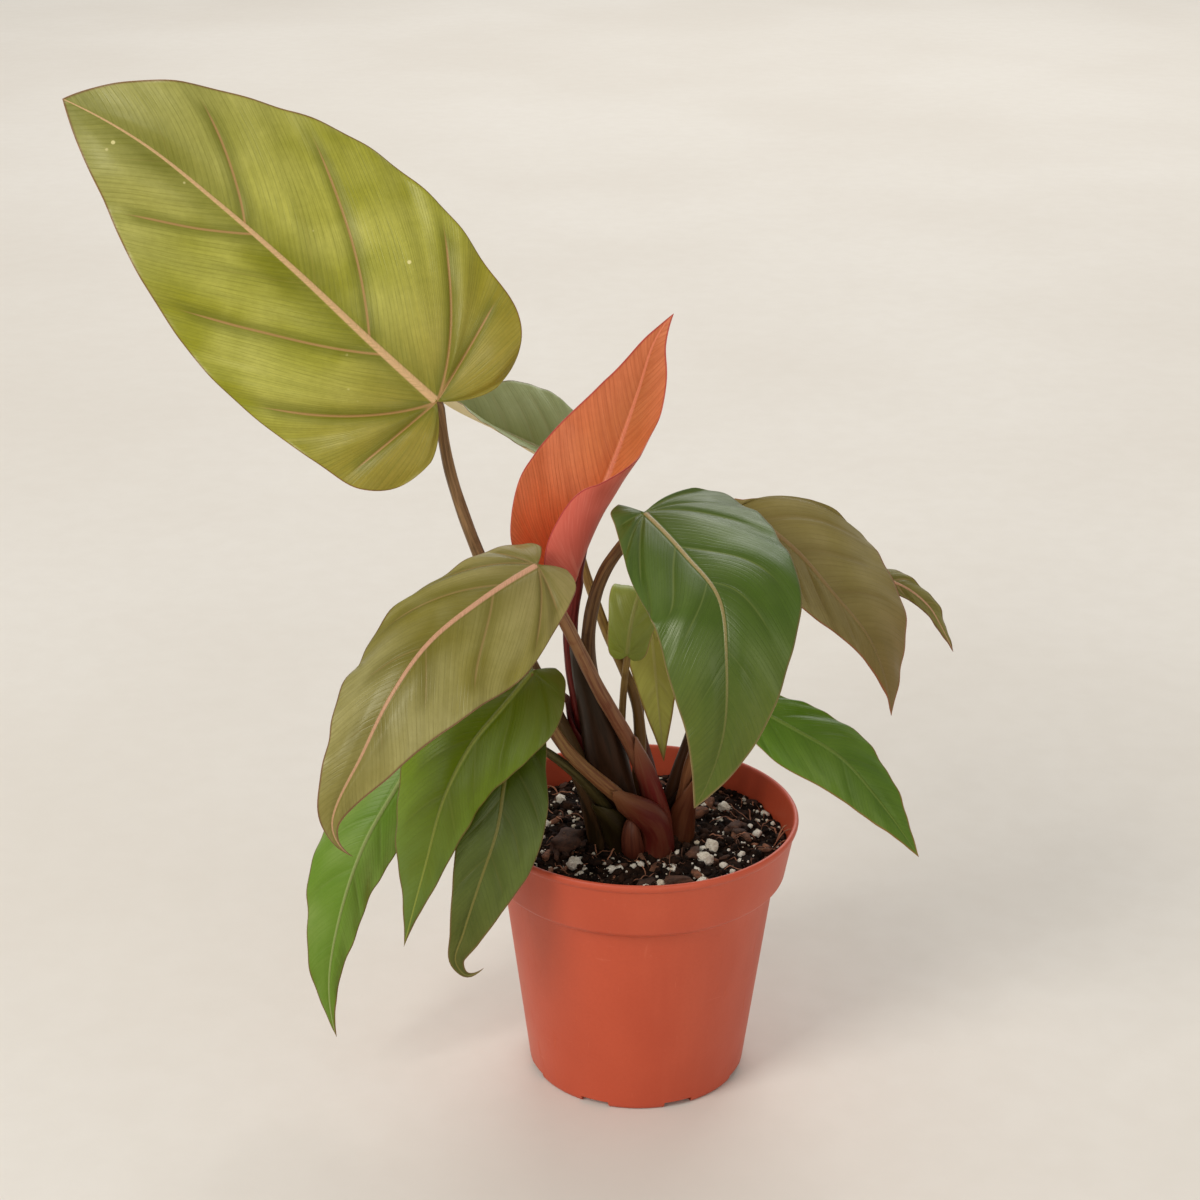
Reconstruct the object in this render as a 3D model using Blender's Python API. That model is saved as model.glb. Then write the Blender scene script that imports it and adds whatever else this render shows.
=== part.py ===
"""Potted philodendron: a thin plastic nursery pot, its soil, and a clump of twelve
heart-shaped leaves on stalks that stand on one short crown.  Metres, +Z up.
The origin is the centre of the pot's underside."""
import bpy, bmesh, math
import numpy as np

# ---------------------------------------------------------------- driving sizes (mm)
RIM_R = 60.0          # outer radius of the rim (a 12 cm pot)
POT_H = 104.6         # pot height
BAND_H = 23.0         # height of the wide band under the rim
BAND_R = 55.4         # outer radius at the band's lower edge
NECK_R = 51.4         # outer radius of the body just under the band
FOOT_R = 41.4         # outer radius at the foot
WALL = 1.2            # wall thickness
DRAINS = 8            # drain slots in the floor, one behind each foot notch
SOIL_Z = 93.6         # mean soil level
CROWN_R = 18.6        # radius of the crown's top
CROWN_Z = 96.4        # height of the crown's top
GAP = 0.3             # clearance between pieces that touch
BLADE_T = 1.0         # blade thickness
SEG = 40              # segments round the pot
MM = 0.001

# stations, as fractions of a blade's length, at which its half-widths are given
STATIONS = (0.0, 0.10, 0.25, 0.45, 0.65, 0.82, 0.93)

for old in list(bpy.data.objects):
    bpy.data.objects.remove(old, do_unlink=True)

# ---------------------------------------------------------------- helpers
def material(name, rgb, rough, metal=0.0):
    m = bpy.data.materials.new(name)
    m.use_nodes = True
    b = m.node_tree.nodes["Principled BSDF"]
    b.inputs["Base Color"].default_value = (*rgb, 1.0)
    b.inputs["Roughness"].default_value = rough
    b.inputs["Metallic"].default_value = metal
    m.diffuse_color = (*rgb, 1.0)
    return m


def to_object(name, verts, faces, mat, smooth=True, parent=None, at=(0, 0, 0)):
    """Make an object from points in mm, with its origin at 'at'."""
    bm = bmesh.new()
    o = np.asarray(at, float)
    vs = [bm.verts.new(tuple((np.asarray(v, float) - o) * MM)) for v in verts]
    for f in faces:
        if len(set(f)) >= 3:
            ids = []
            for i in f:
                if i not in ids:
                    ids.append(i)
            bm.faces.new([vs[i] for i in ids])
    bmesh.ops.recalc_face_normals(bm, faces=bm.faces)
    me = bpy.data.meshes.new(name)
    bm.to_mesh(me)
    bm.free()
    me.materials.append(mat)
    if smooth:
        me.shade_smooth()
        me.set_sharp_from_angle(angle=math.radians(40))
    ob = bpy.data.objects.new(name, me)
    ob.location = tuple(o * MM)
    bpy.context.scene.collection.objects.link(ob)
    if parent is not None:
        ob.parent = parent
    return ob


def lathe(profile, seg, wobble=None):
    """Turn a profile of (radius, z) pairs that starts and ends on the axis."""
    verts, faces, rings = [], [], []
    for k, (r, z) in enumerate(profile):
        if r <= 1e-6:
            verts.append((0.0, 0.0, z))
            rings.append([len(verts) - 1] * seg)
        else:
            ring = []
            for i in range(seg):
                a = 2 * math.pi * i / seg
                dr, dz = wobble(k, r, z, a) if wobble else (0.0, 0.0)
                verts.append(((r + dr) * math.cos(a), (r + dr) * math.sin(a), z + dz))
                ring.append(len(verts) - 1)
            rings.append(ring)
    for A, B in zip(rings[:-1], rings[1:]):
        for i in range(seg):
            j = (i + 1) % seg
            faces.append((A[i], A[j], B[j], B[i]))
    return verts, faces


def unit(v):
    v = np.asarray(v, float)
    return v / np.linalg.norm(v)


def smooth_curve(P, n):
    """A smooth curve through the points P, n samples in each span."""
    P = np.asarray(P, float)
    d = np.maximum(np.linalg.norm(np.diff(P, axis=0), axis=1), 1e-9)
    t = np.concatenate([[0], np.cumsum(d ** 0.7)])
    m = np.zeros_like(P)
    for i in range(1, len(P) - 1):
        a = (P[i] - P[i - 1]) / (t[i] - t[i - 1])
        b = (P[i + 1] - P[i]) / (t[i + 1] - t[i])
        wa, wb = t[i + 1] - t[i], t[i] - t[i - 1]
        m[i] = (a * wa + b * wb) / (wa + wb)
    m[0] = 2 * (P[1] - P[0]) / (t[1] - t[0]) - m[1]
    m[-1] = 2 * (P[-1] - P[-2]) / (t[-1] - t[-2]) - m[-2]
    out = []
    for i in range(len(P) - 1):
        h = t[i + 1] - t[i]
        for s in np.linspace(0, 1, n, endpoint=False):
            out.append((2*s**3 - 3*s**2 + 1) * P[i] + (s**3 - 2*s**2 + s) * h * m[i]
                       + (-2*s**3 + 3*s**2) * P[i + 1] + (s**3 - s**2) * h * m[i + 1])
    out.append(P[-1])
    return np.array(out)


def even(C, n):
    """n points spaced evenly along the curve C."""
    s = np.concatenate([[0], np.cumsum(np.linalg.norm(np.diff(C, axis=0), axis=1))])
    q = np.linspace(0, s[-1], n)
    return np.stack([np.interp(q, s, C[:, k]) for k in range(C.shape[1])], 1)


def outline(width, widest, shoulder, drip):
    """Half-widths of one side of a blade at STATIONS: 'shoulder' is the share of the full
    'width' at the stalk, 'widest' the place along the midrib where it is reached, and a
    larger 'drip' draws the tip out thinner."""
    out = []
    for f in STATIONS:
        if f <= widest:
            g = shoulder + (1 - shoulder) * math.sin(math.pi / 2 * f / widest)
        else:
            g = (1 - ((f - widest) / (1 - widest)) ** 1.6) ** drip
        out.append(width * g)
    return out


class Blade:
    """A leaf blade.  Its flat outline is bent along the midrib: 'mid' are points on the
    midrib from the stalk to the tip, 'face' the directions that the upper face looks in
    at the base, the middle and the tip, 'wl' and 'wr' the half-widths left and right at
    STATIONS, 'lobes' how far the two basal lobes reach back, and 'fold' and 'curl' how
    many degrees each half rises at the midrib and bends on the way to its margin."""

    def __init__(self, mid, face, wl, wr, lobes, fold, curl, reach=0.7, bow=0.25):
        self.C = even(smooth_curve(mid, 24), 161)
        self.L = float(np.linalg.norm(np.diff(self.C, axis=0), axis=1).sum())
        T = np.gradient(self.C, axis=0)
        T /= np.linalg.norm(T, axis=1)[:, None]
        self.u = np.linspace(0, 1, 161)
        ks = np.linspace(0, 1, len(face))
        F = [unit(f) for f in face]
        N = np.stack([np.interp(self.u, ks, [f[k] for f in F]) for k in range(3)], 1)
        N -= T * (N * T).sum(1)[:, None]
        N /= np.linalg.norm(N, axis=1)[:, None]
        self.T, self.N = T, N
        self.w, self.lobes = (wl, wr), lobes
        self.fold, self.curl = np.radians(fold), np.radians(curl)
        self.W = float(max(max(wl), max(wr)))
        self.reach, self.bow = reach, bow

    def frame(self, a):
        q = np.clip(a / self.L, 0, 1)
        f = lambda A: np.array([np.interp(q, self.u, A[:, k]) for k in range(3)])
        m, T, N = f(self.C), unit(f(self.T)), f(self.N)
        N = unit(N - T * (N @ T))
        return m + T * min(a, 0.0), T, N, np.cross(T, N), q

    def at(self, a, w, side):
        m, T, N, S, q = self.frame(a)
        ph = np.interp(q, (0, .5, 1), self.fold[:, side])
        cu = np.interp(q, (0, .5, 1), self.curl[:, side])
        cu = cu if abs(cu) > 1e-3 else 1e-3
        X = self.W / cu * (math.sin(ph + cu * w / self.W) - math.sin(ph))
        Z = -self.W / cu * (math.cos(ph + cu * w / self.W) - math.cos(ph))
        return m + S * (X if side else -X) + N * Z

    def margin(self, side, n):
        w, b = self.w[side], self.lobes[side]
        P = [(-b, 0.42 * w[0]), (-0.72 * b, 0.80 * w[0])]
        P += [(f * self.L, x) for f, x in zip(STATIONS, w)] + [(self.L, 0.0)]
        return even(smooth_curve(P, 20), n)

    def mesh(self, K, M):
        """K veins a side from the midrib to the margin, M cells along each."""
        mg = [self.margin(0, K + 1), self.margin(1, K + 1)]
        a0 = np.mean([m[:, 0] - self.reach * m[:, 1] for m in mg], 0)
        a0 = np.maximum.accumulate(np.clip(a0, 0, self.L))
        a0[-1] = self.L
        for k in range(K - 1, -1, -1):
            if a0[k] >= a0[k + 1] and a0[k] > 0:
                a0[k] = a0[k + 1] - 0.35
        verts, index = [], {}

        def vert(key, p):
            if key not in index:
                verts.append(p)
                index[key] = len(verts) - 1
            return index[key]
        faces = []
        for side in (0, 1):
            rows = []
            for k in range(K + 1):
                row = []
                A1, W1 = mg[side][k]
                for j in range(M + 1):
                    q = j / M
                    if k == K:
                        key = "tip"
                    elif j == 0:
                        key = "base" if a0[k] <= 0 else ("mid", k)
                    else:
                        key = (side, k, j)
                    a = (1 - q) * a0[k] + q * A1 - self.bow * W1 * q * (1 - q)
                    row.append(vert(key, self.at(a, q * W1, side)))
                rows.append(row)
            for k in range(K):
                for j in range(M):
                    f = (rows[k][j], rows[k][j + 1], rows[k + 1][j + 1], rows[k + 1][j])
                    faces.append(f if side else f[::-1])
        return verts, faces


def blade(name, mat, K=13, M=4, **kw):
    b = Blade(**kw)
    v, f = b.mesh(K, M)
    ob = to_object(name, v, f, mat, at=tuple(b.C[0]), parent=plant)
    s = ob.modifiers.new("thickness", "SOLIDIFY")
    s.thickness = BLADE_T * MM
    s.offset = 0.0
    return b


def stalk(name, mat, path, radii, flat=0.0, sides=8, n=12, stop=None):
    """A tapered stalk along a smooth path.  'radii' are at the base, a third of the way
    up and at the top; 'flat' widens the base sideways."""
    C = even(smooth_curve(path, 16), 201)
    if stop is not None:                      # end short of the blade
        keep = np.linalg.norm(C - C[-1], axis=1) > stop
        C = C[keep]
    C = even(C, n)
    T = np.gradient(C, axis=0)
    T /= np.linalg.norm(T, axis=1)[:, None]
    T[0] = (0, 0, 1)
    verts, faces, rings = [], [], []
    out = unit((C[0][0], C[0][1], 0.0)) if abs(C[0][0]) + abs(C[0][1]) > 1 else np.array((0, 1.0, 0))
    side = unit(np.cross(T[0], out))
    for i in range(n):
        u = i / (n - 1)
        r = np.interp(u, (0, 0.33, 1), radii)
        side = unit(side - T[i] * (side @ T[i]))
        nor = np.cross(side, T[i])
        wide = 1 + flat * max(0.0, 1 - u * 3.2)
        ring = []
        for j in range(sides):
            a = 2 * math.pi * j / sides
            verts.append(C[i] + side * (r * wide * math.cos(a)) + nor * (r * math.sin(a)))
            ring.append(len(verts) - 1)
        rings.append(ring)
    for A, B in zip(rings[:-1], rings[1:]):
        for j in range(sides):
            faces.append((A[j], A[(j + 1) % sides], B[(j + 1) % sides], B[j]))
    for ring, c in ((rings[0], C[0]), (rings[-1], C[-1])):
        faces.append(tuple(ring))
    return to_object(name, verts, faces, mat, at=tuple(C[0]), parent=plant)


def soil_height(x, y):
    """Height of the soil's lumpy surface."""
    r = math.hypot(x, y)
    h = SOIL_Z + 1.1 * math.exp(-(r / 30.0) ** 2) - 0.9 * (r / 55.0) ** 4
    h += 0.55 * math.sin(x * 0.33 + 1.3) * math.cos(y * 0.29 - 0.4)
    h += 0.45 * math.sin(x * 0.71 - y * 0.53 + 2.1)
    h += 0.30 * math.cos(x * 1.13 + y * 0.97)
    return h


# ---------------------------------------------------------------- materials
M_POT = material("terracotta_plastic", (0.53, 0.105, 0.045), 0.42)
M_SOIL = material("potting_soil", (0.022, 0.014, 0.010), 0.95)
M_PERL = material("perlite", (0.72, 0.68, 0.60), 0.90)
M_BARK = material("bark", (0.085, 0.042, 0.024), 0.85)
M_CROWN = material("crown_stem", (0.12, 0.035, 0.022), 0.55)
M_OLIVE = material("blade_olive", (0.20, 0.19, 0.030), 0.40)
M_BRONZE = material("blade_bronze", (0.16, 0.13, 0.035), 0.40)
M_GREEN = material("blade_green", (0.060, 0.17, 0.020), 0.35)
M_DARK = material("blade_dark_green", (0.045, 0.12, 0.035), 0.35)
M_SAGE = material("blade_sage", (0.12, 0.18, 0.075), 0.45)
M_ORANGE = material("blade_orange", (0.62, 0.155, 0.035), 0.38)
M_STALK = material("stalk_brown", (0.16, 0.085, 0.040), 0.45)
M_MAROON = material("stalk_maroon", (0.11, 0.018, 0.020), 0.40)
M_OCHRE = material("stalk_ochre", (0.27, 0.17, 0.055), 0.45)

plant = bpy.data.objects.new("plant_frame", None)
bpy.context.scene.collection.objects.link(plant)

# ---------------------------------------------------------------- pot
def pot_profile():
    zb = POT_H - BAND_H
    outer = [(0, 0), (20, 0), (22.5, 3.0), (34.5, 3.0), (36.5, 0), (39.6, 0),
             (FOOT_R - 0.5, 0.5), (FOOT_R, 1.6)]
    for k in range(1, 5):                                   # tapered body
        u = k / 4
        outer.append((FOOT_R + (NECK_R - FOOT_R) * u, 1.6 + (zb - 3.6) * u))
    outer += [(NECK_R + 1.4, zb - 0.9), (BAND_R - 1.2, zb - 0.2), (BAND_R - 0.3, zb + 0.4),
              (BAND_R, zb + 1.5), ((BAND_R + RIM_R) / 2 - 0.3, zb + BAND_H / 2),
              (RIM_R - 1.0, POT_H - 3.0), (RIM_R - 0.1, POT_H - 2.2), (RIM_R, POT_H - 0.8),
              (RIM_R - 0.5, POT_H)]
    inner = [(RIM_R - 1.6, POT_H), (RIM_R - 2.1, POT_H - 0.6), (BAND_R - WALL, zb + 1.5),
             (BAND_R - WALL - 1.2, zb + 0.2), (NECK_R - WALL, zb - 2.4),
             (FOOT_R - WALL, 5.4), (FOOT_R - WALL - 1.2, 4.2), (22.0, 4.2), (18.8, 1.2), (0, 1.2)]
    return outer, inner


OUTER, INNER = pot_profile()
pv, pf = lathe(OUTER + INNER, SEG)
pot = to_object("nursery_pot", pv, pf, M_POT)
cut = bmesh.new()
for k in range(DRAINS):
    a = math.radians(-90 + 22 + 360 * k / DRAINS)
    d = np.array((math.cos(a), math.sin(a), 0.0))
    s = np.array((-d[1], d[0], 0.0))
    # notch through the foot ring, 11 mm wide and 2.2 mm high
    ring = []
    for (x, z) in ((35.0, -1.0), (46.0, -1.0), (46.0, 2.2), (35.0, 2.2)):
        ring.append([cut.verts.new(tuple((d * x + s * w + np.array((0, 0, z))) * MM)) for w in (-5.5, 5.5)])
    for i in range(4):
        A, B = ring[i], ring[(i + 1) % 4]
        cut.faces.new((A[0], A[1], B[1], B[0]))
    cut.faces.new([r[0] for r in ring])
    cut.faces.new([r[1] for r in ring][::-1])
    # radial drain slot in the raised floor, 3.8 mm wide and 10 mm long
    c = d * 28.5
    lo, hi = [], []
    for (u, w) in ((-5, -1.9), (5, -1.9), (5, 1.9), (-5, 1.9)):
        p = c + d * u + s * w
        lo.append(cut.verts.new(tuple((p + np.array((0, 0, 1.5))) * MM)))
        hi.append(cut.verts.new(tuple((p + np.array((0, 0, 4.35))) * MM)))
    for i in range(4):
        j = (i + 1) % 4
        cut.faces.new((lo[i], lo[j], hi[j], hi[i]))
    cut.faces.new(lo[::-1])
    cut.faces.new(hi)
bmesh.ops.recalc_face_normals(cut, faces=cut.faces)
cme = bpy.data.meshes.new("drain_cutter")
cut.to_mesh(cme)
cut.free()
cutter = bpy.data.objects.new("drain_cutter", cme)
bpy.context.scene.collection.objects.link(cutter)
cutter.hide_render = True
cutter.display_type = "WIRE"
bo = pot.modifiers.new("drains", "BOOLEAN")
bo.operation = "DIFFERENCE"
bo.object = cutter
bo.solver = "EXACT"

# ---------------------------------------------------------------- soil
def inner_radius(z):
    pts = sorted((p[1], p[0]) for p in INNER if p[1] > 4.0)
    return float(np.interp(z, [p[0] for p in pts], [p[1] for p in pts]))


CROWN = [(0, 60.0), (5.0, 61.0), (9.0, 66.0), (12.0, 76.0), (16.0, 87.0), (CROWN_R, 92.5),
         (CROWN_R - 0.3, 95.4), (CROWN_R - 1.6, CROWN_Z), (0, CROWN_Z)]
zb = POT_H - BAND_H
soil = [(0, 1.2 + GAP), (18.6, 1.2 + GAP), (21.8, 4.2 + GAP), (FOOT_R - WALL - 1.5, 4.2 + GAP),
        (FOOT_R - WALL - GAP - 0.1, 5.8), (NECK_R - WALL - GAP - 0.1, zb - 2.3),
        (BAND_R - WALL - 1.2 - GAP - 0.1, zb + 0.3), (BAND_R - WALL - GAP - 0.1, zb + 1.7)]
top_r = inner_radius(SOIL_Z - 1.5) - GAP - 0.2
N_SIDE = len(soil)
soil.append((top_r, SOIL_Z - 1.6))
rows = 6
for k in range(1, rows + 1):
    r = top_r - 0.9 - (top_r - 0.9 - CROWN_R - GAP - 0.25) * ((k - 1) / (rows - 1))
    soil.append((r, SOIL_Z))
N_TOP = len(soil)
for (r, z) in CROWN[::-1][3:-1]:
    soil.append((r + GAP + 0.25, z - 0.2))
soil.append((0, 60.0 - GAP))


def lumps(k, r, z, a):
    if N_SIDE < k < N_TOP:
        return 0.0, soil_height(r * math.cos(a), r * math.sin(a)) - z
    return 0.0, 0.0


sv, sf = lathe(soil, SEG, lumps)
to_object("potting_soil", sv, sf, M_SOIL)

cv, cf = lathe(CROWN, 24)
to_object("crown_stem", cv, cf, M_CROWN, parent=plant)

# ---------------------------------------------------------------- leaves
LEAVES = {
 "leaf_01": dict(mat=M_OLIVE,
    mid=[(-74, 12, 261), (-97, 20, 280), (-125, 30, 304), (-152, 38, 326), (-180, 44, 347), (-208, 50, 361)],
    face=[(0, -.9, .4), (.1, -.9, .4), (0, -.9, .4)],
    wl=outline(49, .35, .85, .8), wr=outline(54, .35, .8, .85), lobes=(13, 12.7),
    fold=[(6, 8), (4, 6), (4, 4)], curl=[(-14, -20), (-12, -16), (-10, -10)]),
 "leaf_02": dict(mat=M_SAGE,
    mid=[(-25, 44, 226), (-38, 52, 230), (-54, 63, 234), (-68, 74, 237), (-78, 84, 239)],
    face=[(.1, -.4, .9), (0, -.3, 1), (-.1, -.2, 1)],
    wl=outline(18, .5, .5, .7), wr=outline(24, .5, .6, .9), lobes=(4, 4),
    fold=[(34, 35), (47, 35), (70, 35)], curl=[(-10, -25), (-10, -25), (-5, -10)]),
 "leaf_03": dict(mat=M_ORANGE,
    mid=[(-25, -8, 202), (-20, -5, 218), (-14, 1, 233), (-8, 5, 249), (-2, 8, 267), (4, 9, 286), (10, 9, 295)],
    face=[(-.4, -.9, .2), (-.3, -.9, .3), (-.2, -1, .1)],
    wl=outline(32, .2, .65, 1.5), wr=outline(29, .2, .7, 1.1), lobes=(6, 6),
    fold=[(20, 40), (8, 16), (10, 20)], curl=[(60, 190), (30, 100), (10, 30)]),
 "leaf_04": dict(mat=M_BRONZE,
    mid=[(-37, -38, 218), (-56, -54, 211), (-73, -68, 201), (-84, -78, 188), (-94, -85, 169), (-105, -89, 142), (-99, -86, 130)],
    face=[(.1, -.4, .9), (-.3, -.7, .6), (-.2, -.9, -.1)],
    wl=outline(31, .3, .6, 1.8), wr=outline(24, .4, .6, 1.4), lobes=(7, 7),
    fold=[(2, 2), (-6, -6), (10, 10)], curl=[(-30, -36), (-30, -36), (0, 0)]),
 "leaf_05": dict(mat=M_GREEN,
    mid=[(-39, -26, 173), (-48, -38, 166), (-60, -50, 155), (-69, -58, 139), (-76, -63, 114), (-84, -65, 83)],
    face=[(0, -.4, .9), (-.3, -.8, .4), (-.4, -.9, .1)],
    wl=outline(20, .15, .7, 1.4), wr=outline(26, .3, .65, 1.4), lobes=(6, 7),
    fold=[(-8, 0), (-34, -4), (-25, 8)], curl=[(-26, -26), (-30, -30), (0, 0)]),
 "leaf_06": dict(mat=M_GREEN,
    mid=[(-77, -2, 138), (-91, -12, 118), (-102, -18, 99), (-111, -23, 73), (-116, -26, 44), (-114, -25, 21)],
    face=[(-.3, -.7, .7), (-.4, -.9, .3), (-.3, -.9, -.2)],
    wl=outline(14, .2, .7, 1.2), wr=outline(20, .35, .55, 1.3), lobes=(7, 7),
    fold=[(-20, 0), (-40, 8), (-30, 8)], curl=[(-26, -26), (-30, -30), (0, 0)]),
 "leaf_07": dict(mat=M_DARK,
    mid=[(-44, -28, 149), (-48, -42, 141), (-51, -54, 124), (-57, -59, 106), (-63, -62, 87), (-66, -62, 75), (-62, -61, 69), (-56, -59, 71)],
    face=[(.1, -.3, .9), (-.1, -1, .2), (0, -.9, .4)],
    wl=outline(17, .35, .6, 1.5), wr=outline(16, .2, .7, 1.5), lobes=(6, 6),
    fold=[(0, 0), (14, 14), (10, 10)], curl=[(-20, -20), (-36, -36), (0, 0)]),
 "leaf_08": dict(mat=M_DARK,
    mid=[(0, -20, 231), (14, -44, 224), (25, -66, 216), (27, -77, 200), (26, -83, 173), (17, -86, 149)],
    face=[(-.1, -.3, 1), (0, -.8, .6), (0, -1, .1)],
    wl=outline(38, .05, .95, 1.1), wr=outline(24, .4, .5, .9), lobes=(4, 9),
    fold=[(4, 6), (6, 8), (8, 8)], curl=[(-36, -40), (-40, -40), (-10, -10)]),
 "leaf_09": dict(mat=M_BRONZE,
    mid=[(34, 6, 224), (55, 0, 210), (68, -4, 196), (83, -6, 177), (92, -5, 147)],
    face=[(.2, -.6, .8), (.5, -.7, .5), (.8, -.6, .1)],
    wl=outline(36, .45, .1, 1.3), wr=outline(14, .25, .55, 1.4), lobes=(3, 5),
    fold=[(0, -30), (0, -34), (6, -20)], curl=[(-26, -26), (-34, -34), (0, 0)]),
 "leaf_10": dict(mat=M_BRONZE,
    mid=[(66, 48, 187), (84, 45, 184), (101, 42, 179), (110, 40, 172), (115, 39, 164), (120, 39, 154)],
    face=[(0, -.4, .9), (.3, -.5, .8), (.8, -.6, .3)],
    wl=outline(7, .4, .85, .9), wr=outline(5, .15, .8, .9), lobes=(3, 3),
    fold=[(0, -30), (0, -40), (6, -30)], curl=[(-20, -20), (-20, -20), (0, 0)]),
 "leaf_11": dict(mat=M_GREEN,
    mid=[(38, -6, 152), (56, -11, 144), (73, -16, 135), (87, -20, 120), (103, -21, 97)],
    face=[(.2, -.5, .8), (.3, -.7, .6), (.5, -.8, .3)],
    wl=outline(15, .4, .6, 1.2), wr=outline(15, .3, .65, 1.1), lobes=(5, 5),
    fold=[(4, 4), (0, 0), (6, 6)], curl=[(-26, -26), (-30, -30), (0, 0)]),
 "leaf_12": dict(mat=M_GREEN,
    mid=[(-5, 17, 161), (-3, 21, 175), (0, 27, 183), (4, 34, 165), (7, 37, 137), (10, 36, 108)],
    face=[(-.1, -.9, .3), (.2, .9, .2), (0, 1, -.1)],
    wl=outline(12, .4, .55, 1.1), wr=outline(12, .4, .55, 1.1), lobes=(2, 2),
    fold=[(0, 0), (0, 0), (0, 0)], curl=[(-20, -20), (-20, -20), (-10, -10)]),
}
BLADES = {}
for key, kw in LEAVES.items():
    kw = dict(kw)
    BLADES[key] = blade(key + "_blade", kw.pop("mat"), **kw)

# stalks: points from the crown up to the blade, and radii at base, third and top
Z0 = CROWN_Z + GAP
STALKS = {
 "leaf_01": (M_STALK, [(-13, -5, Z0), (-15, -5, 108), (-30, -2, 142), (-59, 7, 203), (-70, 13, 235)], (3.6, 2.9, 2.0)),
 "leaf_02": (M_OCHRE, [(0, 8, Z0), (0, 10, 110), (-1, 16, 140), (-14, 27, 170), (-24, 36, 200)], (3.3, 2.0, 1.7)),
 "leaf_03": (M_MAROON, [(-9, 3, Z0), (-12, 3, 108), (-22, 0, 145), (-26, -4, 178)], (3.6, 3.3, 2.4)),
 "leaf_04": (M_MAROON, [(8, -4, Z0), (6, -5, 110), (-4, -11, 138), (-15, -19, 162), (-27, -29, 192)], (3.6, 2.8, 2.1)),
 "leaf_05": (M_OCHRE, [(6, -11, Z0), (5, -13, 106), (-8, -19, 120), (-28, -25, 143), (-37, -27, 162)], (3.6, 2.7, 1.8)),
 "leaf_06": (M_STALK, [(-15, 8, Z0), (-18, 9, 104), (-28, 9, 128), (-44, 7, 148), (-62, 2, 150)], (3.3, 2.2, 1.6)),
 "leaf_07": (M_STALK, [(-7, -9.5, Z0), (-9, -11, 104), (-20, -17, 124), (-34, -24, 140)], (3.3, 2.0, 1.4)),
 "leaf_08": (M_STALK, [(-4, -3, Z0), (-8, -3, 108), (-16, -5, 150), (-19.5, -7, 177), (-14, -12, 205)], (3.6, 3.0, 2.0)),
 "leaf_09": (M_STALK, [(9, 4, Z0), (12, 5, 108), (21, 7, 140), (31, 9, 180)], (3.3, 2.2, 1.7)),
 "leaf_10": (M_MAROON, [(7, 12, Z0), (5, 20, 106), (0, 40, 126), (4, 49, 150), (28, 51, 176)], (3.3, 2.0, 1.5)),
 "leaf_11": (M_STALK, [(15, -1, Z0), (16, -1, 107), (20, -2, 130), (28, -4, 147)], (3.3, 2.4, 1.6)),
 "leaf_12": (M_OCHRE, [(-8, 11, Z0), (-8, 12, 106), (-7, 14, 130), (-6, 16, 150)], (3.0, 1.6, 1.2)),
}
for key, (mat, path, radii) in STALKS.items():
    b = BLADES[key]
    m, T, N, S, q = b.frame(0.0)
    path = path + [tuple(m)]
    stalk(key + "_stalk", mat, path, radii, stop=radii[2] + BLADE_T / 2 + 1.7)

# a short pointed scale at the front of the crown
stalk("bud_scale", M_MAROON, [(-2, -15.5, Z0), (-2.6, -16.4, 101), (-3, -16.6, 106)], (2.7, 2.6, 0.6), n=6)

# ---------------------------------------------------------------- soil grains
def grain(name, mat, x, y, size, squash, seed):
    rng = np.random.default_rng(seed)
    bm = bmesh.new()
    bmesh.ops.create_icosphere(bm, subdivisions=2, radius=1.0)
    k1, k2 = rng.uniform(1.5, 2.6, 3), rng.uniform(0, 6.28, 3)
    P = []
    for v in bm.verts:
        c = np.array(v.co)
        d = 1 + 0.10 * math.sin(k1[0] * c[0] * 2 + k2[0]) + 0.09 * math.sin(k1[1] * c[1] * 2 + k2[1]) \
            + 0.08 * math.sin(k1[2] * c[2] * 3 + k2[2])
        c = c * d * np.array(size) * np.array((1, 1, squash))
        v.co = c * MM
        P.append(c)
    turn = rng.uniform(0, 3.14)
    P = np.array(P)
    R = np.array([[math.cos(turn), -math.sin(turn)], [math.sin(turn), math.cos(turn)]])
    XY = P[:, :2] @ R.T
    # rest on the highest bit of soil beneath it
    need = max(soil_height(x + a, y + b) - c for (a, b), c in zip(XY, P[:, 2]) if c < 0.2 * P[:, 2].max())
    me = bpy.data.meshes.new(name)
    bm.to_mesh(me)
    bm.free()
    me.materials.append(mat)
    me.shade_smooth()
    ob = bpy.data.objects.new(name, me)
    ob.location = (x * MM, y * MM, (need + GAP + 0.25) * MM)
    ob.rotation_euler = (0, 0, turn)
    bpy.context.scene.collection.objects.link(ob)


GRAINS = [("bark_chip_1", M_BARK, -27, -8, (8.0, 5.5, 5.0), 0.55, 3), ("bark_chip_2", M_BARK, 14, -36, (6.0, 3.2, 2.2), 0.6, 5),
          ("bark_chip_3", M_BARK, 36, 8, (5.5, 2.6, 2.2), 0.6, 7),
          ("perlite_1", M_PERL, -24, -24, (3.0, 2.6, 2.4), 0.8, 11), ("perlite_2", M_PERL, 24, -20, (3.4, 2.8, 2.5), 0.8, 12),
          ("perlite_3", M_PERL, 27, -11, (2.4, 2.2, 2.0), 0.8, 13), ("perlite_4", M_PERL, 33, 22, (2.4, 2.0, 1.9), 0.8, 14),
          ("perlite_5", M_PERL, -36, 8, (2.3, 2.0, 1.8), 0.8, 15), ("perlite_6", M_PERL, 4, 42, (2.4, 2.0, 1.8), 0.8, 16)]
for g in GRAINS:
    grain(*g)
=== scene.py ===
"""The looks of the potted philodendron: fine leaves, stalks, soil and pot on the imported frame."""
import bpy, bmesh, math
import numpy as np
from mathutils import Matrix, Vector, noise


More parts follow.
